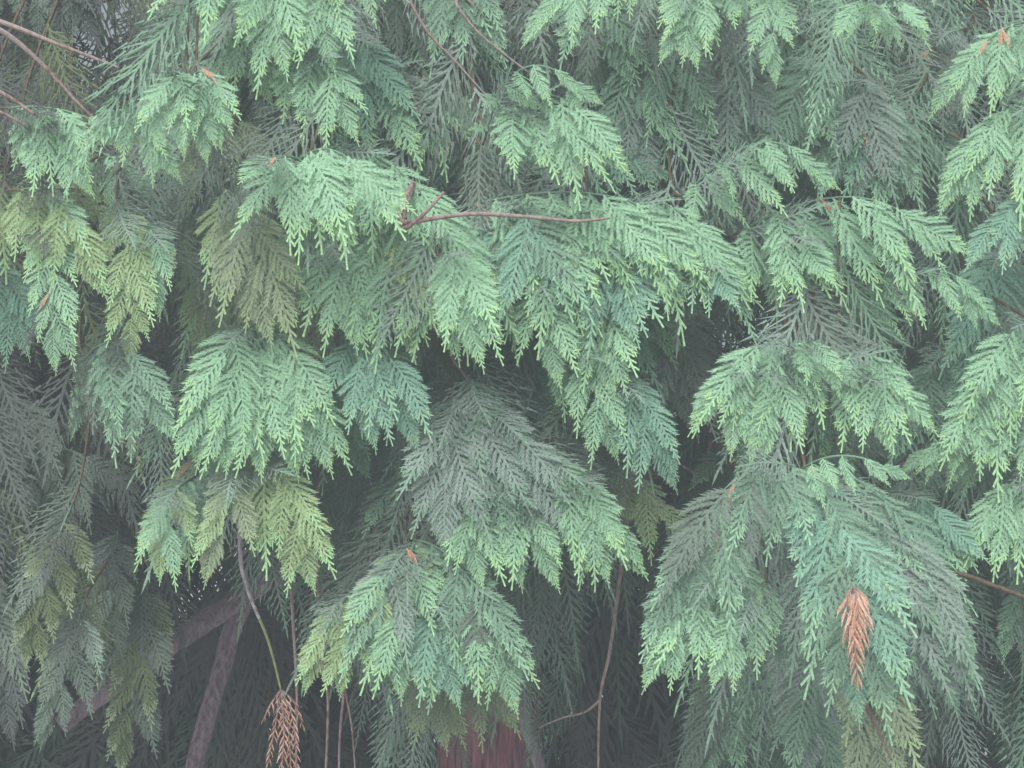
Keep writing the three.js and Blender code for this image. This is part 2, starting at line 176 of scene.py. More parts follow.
def trunk_radius(share, turn):
    """The trunk's radius: an even taper, and root lobes that fade out above the ground."""
    taper = between(TRUNK_TIP_RADIUS, TRUNK_FOOT_RADIUS, (1 - share) ** TRUNK_TAPER)
    lobe = 1 + LOBE_DEPTH * math.cos(ROOT_LOBES * (math.pi - turn) + LOBE_TURN)
    return taper + FLARE * lobe * math.exp(-share * TRUNK_TIP_HEIGHT / FLARE_HEIGHT)


def bark_relief(point, grain, depth):
    """The height of fibrous bark at a point: narrow upright strips with furrows between them."""
    x, y, z = point
    wander = STRIP_WANDER * noise.noise(Vector((x * WANDER_GRAIN, y * WANDER_GRAIN, z * WANDER_RISE)))
    strips = noise.noise(Vector((x * grain + wander, y * grain + wander, z * grain * STRIP_STRETCH)))
    fine = grain * FIBRES_TO_A_STRIP
    fibres = noise.noise(Vector((x * fine, y * fine, z * grain * FIBRE_STRETCH)))
    furrow = 1 - min(1, abs(strips) * FURROW_SHARPNESS)
    cut = FURROW_DEPTH / STRIP_DEPTH * depth * FURROW_SHARE * furrow
    return depth * (STRIP_SHARE * abs(strips) + FIBRE_SHARE * fibres) - cut


stem = bmesh.new()
profile = []
for ring in range(TRUNK_RINGS + 1):
    share = (ring / TRUNK_RINGS) ** RING_CROWDING
    profile.append(stem.verts.new((1, 0, share * TRUNK_TIP_HEIGHT)))
upright = [stem.edges.new(pair) for pair in zip(profile, profile[1:])]
bmesh.ops.spin(
    stem,
    geom=profile + upright,
    cent=(0, 0, 0),
    axis=(0, 0, 1),
    angle=2 * math.pi,
    steps=TRUNK_SIDES,
    use_merge=True,
)
for corner in stem.verts:
    turn = math.atan2(corner.co.y, corner.co.x)
    height = corner.co.z
    share = height / TRUNK_TIP_HEIGHT
    outward = Vector((math.cos(turn), math.sin(turn), 0))
    radius = trunk_radius(share, turn)
    skin = outward * radius + Vector((0, 0, height))
    depth = STRIP_DEPTH * min(1, radius / FULL_RELIEF_RADIUS)
    corner.co = trunk_at(height) + outward * (radius + bark_relief(skin, TRUNK_GRAIN, depth))
bmesh.ops.holes_fill(stem, edges=[edge for edge in stem.edges if edge.is_boundary], sides=0)
bmesh.ops.recalc_face_normals(stem, faces=stem.faces)
for face in stem.faces:
    face.smooth = len(face.verts) == 4
trunk_mesh = bpy.data.meshes.new("trunk_bark")
stem.to_mesh(trunk_mesh)
stem.free()
trunk_bark = bpy.data.objects.new("trunk_bark", trunk_mesh)
bpy.context.scene.collection.objects.link(trunk_bark)


def node_with(nodes, kind, values):
    """A new node of a material, with these values on its sockets."""
    node = nodes.new(kind)
    for socket, value in values.items():
        node.inputs[socket].default_value = value
    return node


def bark_finish(name, furrow, strip, weathered, stretch, fine):
    """Dull fibrous bark: dark in its furrows, red-brown on its strips and grey where it is weathered."""
    finish = bpy.data.materials.new(name)
    finish.use_nodes = True
    nodes = finish.node_tree.nodes
    links = finish.node_tree.links
    shader = nodes["Principled BSDF"]
    shader.inputs["Roughness"].default_value = 0.92
    shader.inputs["Specular IOR Level"].default_value = 0.25
    place = nodes.new("ShaderNodeTexCoord")
    grain = node_with(nodes, "ShaderNodeMapping", {"Scale": (1, 1, stretch)})
    links.new(place.outputs["Object"], grain.inputs["Vector"])
    strips = node_with(nodes, "ShaderNodeTexNoise", {"Scale": fine, "Detail": 6, "Roughness": 0.62})
    links.new(grain.outputs["Vector"], strips.inputs["Vector"])
    shades = nodes.new("ShaderNodeValToRGB")
    for stop, position, colour in zip(shades.color_ramp.elements, (0.36, 0.62), (furrow, strip)):
        stop.position = position
        stop.color = (*colour, 1)
    links.new(strips.outputs["Fac"], shades.inputs["Fac"])
    patches = node_with(nodes, "ShaderNodeTexNoise", {"Scale": 9, "Detail": 3})
    links.new(place.outputs["Object"], patches.inputs["Vector"])
    cover = node_with(nodes, "ShaderNodeMapRange", {"From Min": 0.48, "From Max": 0.7, "To Max": 0.6})
    links.new(patches.outputs["Fac"], cover.inputs["Value"])
    blend = nodes.new("ShaderNodeMix")
    blend.data_type = "RGBA"
    blend.inputs["B"].default_value = (*weathered, 1)
    links.new(cover.outputs["Result"], blend.inputs["Factor"])
    links.new(shades.outputs["Color"], blend.inputs["A"])
    links.new(blend.outputs["Result"], shader.inputs["Base Color"])
    relief = node_with(nodes, "ShaderNodeBump", {"Strength": 0.7, "Distance": 0.003})
    links.new(strips.outputs["Fac"], relief.inputs["Height"])
    links.new(relief.outputs["Normal"], shader.inputs["Normal"])
    return finish


trunk_finish = bark_finish(
    "bark",
    furrow=(0.105, 0.050, 0.060),
    strip=(0.50, 0.215, 0.260),
    weathered=(0.38, 0.265, 0.310),
    stretch=0.09,
    fine=130,
)
trunk_mesh.materials.append(trunk_finish)
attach(trunk_bark, "root")
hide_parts("trunk")


# The boughs leave the trunk in eight tiers, rise a little and bow down to their tips. Each is one limb
# of wood that tapers evenly, with thin, slightly scaly grey-brown bark. It runs on bare from the trunk
# and then through its own foliage to the tip.
CROWN_RADIUS = 1.45
CROWN_APEX = TREE_HEIGHT + 0.25
CROWN_ROUNDING = 0.82
BOUGHS_IN_TIER = [6, 6, 6, 5, 5, 4, 3, 3]
TIERS_WITH_LIMBS = 3
LAST_TIER = len(BOUGHS_IN_TIER) - 1
FIRST_TIER_HEIGHT = 1.56
TIER_STEP = 0.65
TIER_STEP_LOSS = 0.026
HEIGHT_SPREAD = 0.14
HEADING_SPREAD = 5
REACH_SPREAD = (0.9, 1.05)
SIDE_BEND = 0.05
TIER_TURNS = [10, -14]
RISE = (0.3, 0.95)
TIP_HEIGHT = (-0.24, 0.3)
BOUGH_RADII = (0.021, 0.010)
BOUGH_TIP_RADIUS = 0.005
BOUGH_TAPER = 0.8
SLIM_END = 0.14
SLIM_SHARE = 0.2
BOUGH_SIDES = 12
BOUGH_STEPS = 44
LIMB_GRAIN = 60
LIMB_RELIEF = 0.16
LOOK_ALONG = 0.02
UP = Vector((0, 0, 1))


def numbers_from(seed):
    """The same run of numbers from 0 to 1 for the same seed."""
    state = (seed * 7919 + 104729) & 0xFFFFFFFF
    while True:
        state = (state * 1664525 + 1013904223) & 0xFFFFFFFF
        yield state / 4294967296


def picked(pair, draw):
    """The next number of a run, put between the two of a pair."""
    return between(*pair, next(draw))


def either_way(most, draw):
    """The next number of a run, put at most this far from nought on either side."""
    return between(-most, most, next(draw))


def tier_height(tier):
    return FIRST_TIER_HEIGHT + TIER_STEP * tier - TIER_STEP_LOSS * tier * (tier - 1) / 2


def tier_reach(tier):
    left = (CROWN_APEX - tier_height(tier)) / (CROWN_APEX - FIRST_TIER_HEIGHT)
    return CROWN_RADIUS * left**CROWN_ROUNDING


def bent(start, middle, end, share):
    """A point of a line that bends once, from its start towards its end."""
    left = 1 - share
    return start * (left * left) + middle * (2 * left * share) + end * (share * share)


class Bough:
    """One bough of the crown, by the rule that places its limb and its mass of foliage."""

    def __init__(self, tier, place):
        self.draw = numbers_from(100 * tier + place + 1)
        self.tier = tier
        self.low = tier < TIERS_WITH_LIMBS
        self.name = f"{tier + 1}{'abcdef'[place]}"
        self.wedge = 2 * math.pi / BOUGHS_IN_TIER[tier]
        self.centre = math.radians(TIER_TURNS[tier % 2]) + self.wedge * place
        heading = self.centre + math.radians(either_way(HEADING_SPREAD, self.draw))
        self.reach = tier_reach(tier) * picked(REACH_SPREAD, self.draw)
        offset = either_way(HEIGHT_SPREAD, self.draw)
        sideways = either_way(SIDE_BEND, self.draw) * self.reach
        self.outward = Vector((math.sin(heading), -math.cos(heading), 0))
        self.side = Vector((math.cos(heading), math.sin(heading), 0))
        self.start = trunk_at(tier_height(tier) + offset)
        rise = between(*RISE, tier / LAST_TIER) * self.reach / 2
        tip = between(*TIP_HEIGHT, tier / LAST_TIER)
        halfway = self.reach / 2
        self.middle = self.start + self.outward * halfway + self.side * sideways + UP * rise
        self.end = self.start + self.outward * self.reach + UP * (tip * self.reach)
        self.thickness = between(*BOUGH_RADII, tier / LAST_TIER)

    def at(self, share):
        return bent(self.start, self.middle, self.end, share)

    def radius(self, share):
        """The limb's radius: an even taper, and near its tip a quick one down to a shoot."""
        slim = min(1, between(SLIM_SHARE, 1, (1 - share) / SLIM_END))
        return between(self.thickness, BOUGH_TIP_RADIUS, share**BOUGH_TAPER) * slim


tiers = [[Bough(tier, i) for i in range(count)] for tier, count in enumerate(BOUGHS_IN_TIER)]
boughs = [bough for tier in tiers for bough in tier]
limb_finish = bark_finish(
    "limb_bark",
    furrow=(0.075, 0.052, 0.045),
    strip=(0.21, 0.155, 0.13),
    weathered=(0.27, 0.25, 0.235),
    stretch=0.5,
    fine=160,
)


def limb(name, line, radius_at, sides, steps, finish):
    """A closed round limb along a line: a sheet rolled up and bent, with its seam and ends closed."""
    wood = bmesh.new()
    bmesh.ops.create_grid(wood, x_segments=sides, y_segments=steps, size=1)
    for corner in wood.verts:
        turn = math.pi * (corner.co.x + 1)
        share = (corner.co.y + 1) / 2
        along = (line(min(share + LOOK_ALONG, 1)) - line(max(share - LOOK_ALONG, 0))).normalized()
        flat = along.cross(UP).normalized()
        way = flat * math.cos(turn) + flat.cross(along) * math.sin(turn)
        skin = line(share) + way * radius_at(share)
        corner.co = skin + way * bark_relief(skin, LIMB_GRAIN, LIMB_RELIEF * radius_at(share))
    bmesh.ops.remove_doubles(wood, verts=wood.verts, dist=1e-5)
    bmesh.ops.holes_fill(wood, edges=[edge for edge in wood.edges if edge.is_boundary], sides=0)
    bmesh.ops.recalc_face_normals(wood, faces=wood.faces)
    for face in wood.faces:
        face.smooth = len(face.verts) == 4
    mesh = bpy.data.meshes.new(name)
    wood.to_mesh(mesh)
    wood.free()
    mesh.materials.append(finish)
    piece = bpy.data.objects.new(name, mesh)
    bpy.context.scene.collection.objects.link(piece)
    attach(piece, "root")
    return piece


for bough in boughs:
    piece = limb(f"limb_{bough.name}", bough.at, bough.radius, BOUGH_SIDES, BOUGH_STEPS, limb_finish)
    if bough.low:
        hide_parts(f"bough_{bough.name}")


# Four inner limbs are bare, old and grey: shade has killed their foliage. They grow out of the trunk, or
# fork from one another, low down behind the outer sprays, and show through the openings between them.
# A row gives the pixels of the frame that one passes, each with its depth, and its first and last radius.
INNER_LIMBS = {
    "inner_limb_left": (
        ((487, 433, 0.0), (290, 565, -0.20), (155, 655, -0.386), (60, 725, -0.45)),
        (0.0175, 0.0135),
    ),
    "inner_limb_fork": (
        ((284, 569, -0.20), (245, 600, -0.25), (215, 690, -0.28), (185, 800, -0.30)),
        (0.0155, 0.0125),
    ),
    "inner_limb_front": (
        ((492, 620, -0.05), (515, 690, -0.16), (545, 780, -0.20), (590, 880, -0.24)),
        (0.0115, 0.007),
    ),
    "inner_limb_right": (
        ((515, 640, 0.02), (560, 710, 0.10), (600, 780, 0.18), (640, 860, 0.26)),
        (0.009, 0.005),
    ),
}
INNER_SIDES = 12
INNER_STEPS = 60
inner_finish = bark_finish(
    "inner_bark",
    furrow=(0.18, 0.130, 0.155),
    strip=(0.46, 0.345, 0.405),
    weathered=(0.52, 0.440, 0.510),
    stretch=0.5,
    fine=160,
)


def through(points, share):
    """A point of the smooth line through a few points."""
    run = share * (len(points) - 1)
    i = min(int(run), len(points) - 2)
    before = points[max(i - 1, 0)]
    after = points[min(i + 2, len(points) - 1)]
    run -= i
    start = points[i]
    end = points[i + 1]
    slope = (end - before) / 2
    later = (after - start) / 2
    rise = run * run * (3 - 2 * run)
    return (
        start * (1 - rise)
        + end * rise
        + slope * (run * (1 - run) ** 2)
        - later * (run * run * (1 - run))
    )


for name, (places, radii) in INNER_LIMBS.items():
    points = [seen_at(*place) for place in places]

    def inner_at(share, points=points):
        return through(points, share)

    def inner_radius(share, radii=radii):
        return between(*radii, share)

    limb(name, inner_at, inner_radius, INNER_SIDES, INNER_STEPS, inner_finish)


# Branchlets are the thin, tough, red-brown shoots that carry the sprays. They leave a bough by turns on
# either hand, run out and bow down until they hang. Two values in a pair are for the boughs of the low
# tiers and the others, or for both ends of a range.
TWIG_SHARES = ((0.46, 0.84, 5), (0.3, 0.84, 4))
TWIG_SPREAD = (58, 48)
TWIG_LENGTH = (0.5, 0.66)
WIDEST_HALF_WEDGE = 0.75
TWIG_DROOP = (0.28, 0.42)
RUN_OUT = 0.55
BEND = 0.25
HANGING_PART = 0.94
RUN_STEPS = 5
HANG_STEPS = 8
OUTWARD_LEAN = (0.05, 0.3)
END_LEAN = 0.7
MIDDLE_LEAN = 0.15
FACE_LIFT = 0.8
MIDDLE_SPRAYS = (2, 0)
SPRAY_SIZES = (0.62, 0.47)
END_SPRAY = (0.9, 1.08)
MIDDLE_SPRAY = (0.68, 0.84)
TIP_SPRAY = (0.55, 0.7)
TIP_FROM = 0.9
TIP_STEPS = 12
LEAFY_FROM = 0.25
MIDDLE_LEAFY_FROM = 0.1
TIP_LEAFY_FROM = 0.05
FILLERS = (10, 7)
FILLER_SEED = 5000
FILLERS_BEFORE = 0.08
FILLERS_TO = 0.95
FILLER_SIZE = (0.5, 0.85)
INNER_SHARES = (0.12, 0.42)
INNER_COUNT = 4
INNER_SIZE = (0.6, 0.9)
SHOOT_REACH = 1.60
LEAST_POINTS = 5
TWIG_RADIUS = 0.0028
TWIG_TIP_RADIUS = 0.0007
TWIG_SIDES = 4


@dataclass
class Branchlet:
    """A shoot: its line of points, the way its sprays face, where they begin on it, and its size."""

    points: list
    face: Vector
    leafy_from: float
    size: float = 0.0


def bowed(start, middle, end, steps):
    """The points of a line that bends once, at even steps."""
    return [bent(start, middle, end, i / steps) for i in range(steps + 1)]


def hanging(bough, heading, lean, draw):
    """The way a spray hangs: down, leaning along its twig and out from the trunk."""
    out = picked(OUTWARD_LEAN, draw)
    return (heading * lean - UP + bough.outward * out).normalized()


def drooping(start, heading, length, droop, hang, size):
    """A line that runs out along a heading, bows down and then hangs."""
    middle = start + heading * (length * RUN_OUT)
    end = start + heading * length - UP * (length * droop)
    bend = end + (end - middle).normalized() * (BEND * size)
    tip = end + hang * (HANGING_PART * size)
    return bowed(start, middle, end, RUN_STEPS)[:-1] + bowed(end, bend, tip, HANG_STEPS)


def branchlets_of(bough):
    """The bough's branchlets: those of its mass in the solid model, and finer ones between them."""
    kind = 0 if bough.low else 1
    size = between(*SPRAY_SIZES, bough.tier / LAST_TIER)
    draw = bough.draw
    first, last, count = TWIG_SHARES[kind]
    grown = []

    def grow(share, hand, draw, scale):
        point = bough.at(share)
        half_wedge = min(bough.wedge / 2, WIDEST_HALF_WEDGE)
        length = math.hypot(point.x, point.y) * math.tan(half_wedge) * picked(TWIG_LENGTH, draw)
        spread = math.radians(between(*TWIG_SPREAD, share)) * hand
        heading = Matrix.Rotation(spread, 3, "Z") @ bough.outward
        droop = picked(TWIG_DROOP, draw)
        hang = hanging(bough, heading, END_LEAN, draw)
        long = size * scale * picked(END_SPRAY, draw)
        line = drooping(point, heading, length * scale, droop, hang, long)
        grown.append(Branchlet(line, (heading + UP * FACE_LIFT).normalized(), LEAFY_FROM, long))
        return heading

    for i in range(count):
        share = between(first, last, i / (count - 1))
        heading = grow(share, 1 if i % 2 == 0 else -1, draw, 1)
        if i < MIDDLE_SPRAYS[kind]:
            point = grown[-1].points[3]
            hang = hanging(bough, heading, MIDDLE_LEAN, draw)
            long = size * picked(MIDDLE_SPRAY, draw)
            points = bowed(point, point + hang * (0.5 * long), point + hang * long, HANG_STEPS)
            face = (heading + UP * FACE_LIFT).normalized()
            grown.append(Branchlet(points, face, MIDDLE_LEAFY_FROM, long))
    long = size * picked(TIP_SPRAY, draw)
    onward = (bough.end - bough.middle).normalized()
    hang = (onward - UP * 0.5).normalized()
    points = bowed(bough.at(TIP_FROM), bough.end, bough.end + hang * long, TIP_STEPS)
    grown.append(Branchlet(points, (bough.outward + UP * FACE_LIFT).normalized(), TIP_LEAFY_FROM, long))
    finer = numbers_from(FILLER_SEED + 100 * bough.tier + ord(bough.name[1]))
    for i in range(FILLERS[kind]):
        share = between(first - FILLERS_BEFORE, FILLERS_TO, (i + next(finer)) / FILLERS[kind])
        grow(share, 1 if i % 2 else -1, finer, picked(FILLER_SIZE, finer))
    for i in range(INNER_COUNT):
        share = between(*INNER_SHARES, i / INNER_COUNT)
        grow(share, 1 if i % 2 else -1, finer, picked(INNER_SIZE, finer))
    for shoot in grown:
        shoot.points = [point for point in shoot.points if math.hypot(point.x, point.y) < SHOOT_REACH]
    return [shoot for shoot in grown if len(shoot.points) >= LEAST_POINTS]


branchlets = {bough.name: branchlets_of(bough) for bough in boughs}
OFF_AXIS = (0.31, 0.22, 0.92)


def tube(points, radii, sides):
    """The corners and triangles of a thin round shoot along a line of points, closed at both ends."""
    line = np.array([tuple(point) for point in points])
    along = np.gradient(line, axis=0)
    along /= np.linalg.norm(along, axis=1)[:, None]
    flat = np.cross(along, OFF_AXIS)
    flat /= np.linalg.norm(flat, axis=1)[:, None]
    lift = np.cross(flat, along)
    turns = np.arange(sides) * 2 * math.pi / sides
    ways = flat[:, None] * np.cos(turns)[None, :, None] + lift[:, None] * np.sin(turns)[None, :, None]
    corners = (line[:, None] + ways * np.asarray(radii)[:, None, None]).reshape(-1, 3)
    ring = np.arange(sides)
    after = (ring + 1) % sides
    faces = []
    for step in range(len(line) - 1):
        low = step * sides
        high = low + sides
        faces.append(np.stack([low + ring, low + after, high + after], axis=1))
        faces.append(np.stack([low + ring, high + after, high + ring], axis=1))
    for base, order in ((0, (after, ring)), ((len(line) - 1) * sides, (ring, after))):
        corners = np.vstack([corners, line[:1] if base == 0 else line[-1:]])
        middle = np.full(sides, len(corners) - 1)
        faces.append(np.stack([base + order[0], base + order[1], middle], axis=1))
    return corners, np.vstack(faces)


def wood_part(points, radii, sides, finish=0):
    """A round shoot as a part of a joined piece, all in one of the piece's finishes."""
    corners, faces = tube(points, radii, sides)
    return corners, faces, np.full(len(faces), finish)


def joined(name, parts, finishes):
    """One mesh from many small parts, each an array of corners, one of triangles and one of finishes."""
    corners = np.vstack([part[0] for part in parts])
    offsets = np.cumsum([0] + [len(part[0]) for part in parts[:-1]])
    faces = np.vstack([part[1] + offset for part, offset in zip(parts, offsets)])
    shades = np.concatenate([part[2] for part in parts])
    mesh = bpy.data.meshes.new(name)
    mesh.vertices.add(len(corners))
    mesh.vertices.foreach_set("co", corners.astype(np.float32).ravel())
    mesh.loops.add(3 * len(faces))
    mesh.loops.foreach_set("vertex_index", faces.astype(np.int32).ravel())
    mesh.polygons.add(len(faces))
    mesh.polygons.foreach_set("loop_start", np.arange(0, 3 * len(faces), 3, dtype=np.int32))
    for finish in finishes:
        mesh.materials.append(finish)
    mesh.polygons.foreach_set("material_index", shades.astype(np.int32))
    mesh.update(calc_edges=True)
    piece = bpy.data.objects.new(name, mesh)
    bpy.context.scene.collection.objects.link(piece)
    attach(piece, "root")
    return piece


def in_view(point, margin=0.0):
    """True where the view's frame holds a point."""
    half = (point.y - STAND.y) * SENSOR / LENS / 2
    high = half * PHOTO_HEIGHT / PHOTO_WIDTH
    return abs(point.x - STAND.x) < half + margin and abs(point.z - STAND.z) < high + margin


def pixel_of(point):
    """The pixel of the 1024 by 768 frame at which the view shows a point."""
    scale = PHOTO_WIDTH * LENS / SENSOR / (point.y - STAND.y)
    return PHOTO_WIDTH / 2 + (point.x - STAND.x) * scale, PHOTO_HEIGHT / 2 - (point.z - STAND.z) * scale


# The places where the view looks past the outer sprays into the shade round the trunk: the centre and
# the half width and height of each, in pixels of the frame.
OPENINGS = {
    "by the bare limb": (245, 660, 105, 120),
    "right of the trunk": (632, 668, 78, 100),
    "round the trunk's foot": (495, 775, 85, 80),
    "low right": (990, 710, 28, 75),
    "over the bare twigs": (104, 52, 42, 72),
    "low left": (40, 700, 130, 100),
    "under the ledge": (172, 310, 18, 60),
    "below the great shelf": (636, 462, 38, 42),
    "right edge": (1000, 130, 28, 60),
    "under the right shelf": (975, 285, 25, 22),
}
SHOWN_FROM = -0.88
OPEN_TO = 0.15
VIEW_MARGIN = 0.04


def in_opening(point):
    across, down = pixel_of(point)
    return any(
        ((across - place[0]) / place[2]) ** 2 + ((down - place[1]) / place[3]) ** 2 < 1
        for place in OPENINGS.values()
    )


def kept_open(point):
    """True for a place in the nearer half of the crown that would close one of the openings."""
    return SHOWN_FROM < point.y < OPEN_TO and in_opening(point)


def rule_keeps(point):
    """True where the rule's own foliage stands: not where the view's nearest fans are laid singly."""
    return not (in_view(point, VIEW_MARGIN) and point.y < SHOWN_FROM) and not kept_open(point)


for name, grown in branchlets.items():
    branchlets[name] = [shoot for shoot in grown if all(rule_keeps(point) for point in shoot.points[4:])]


def shoot_part(shoot):
    """A branchlet's own thin wood, thicker where the branchlet is larger."""
    thick = TWIG_RADIUS * (0.6 + 0.6 * shoot.size / SPRAY_SIZES[0])
    radii = np.linspace(thick, TWIG_TIP_RADIUS, len(shoot.points))
    return wood_part(shoot.points, radii, TWIG_SIDES)


twig_finish = bark_finish(
    "twig_bark",
    furrow=(0.085, 0.060, 0.042),
    strip=(0.17, 0.125, 0.085),
    weathered=(0.17, 0.16, 0.11),
    stretch=1.0,
    fine=210,
)
for tier, group in enumerate(tiers):
    parts = [shoot_part(shoot) for bough in group for shoot in branchlets[bough.name]]
    joined(f"branchlets_{tier + 1}", parts, [twig_finish])


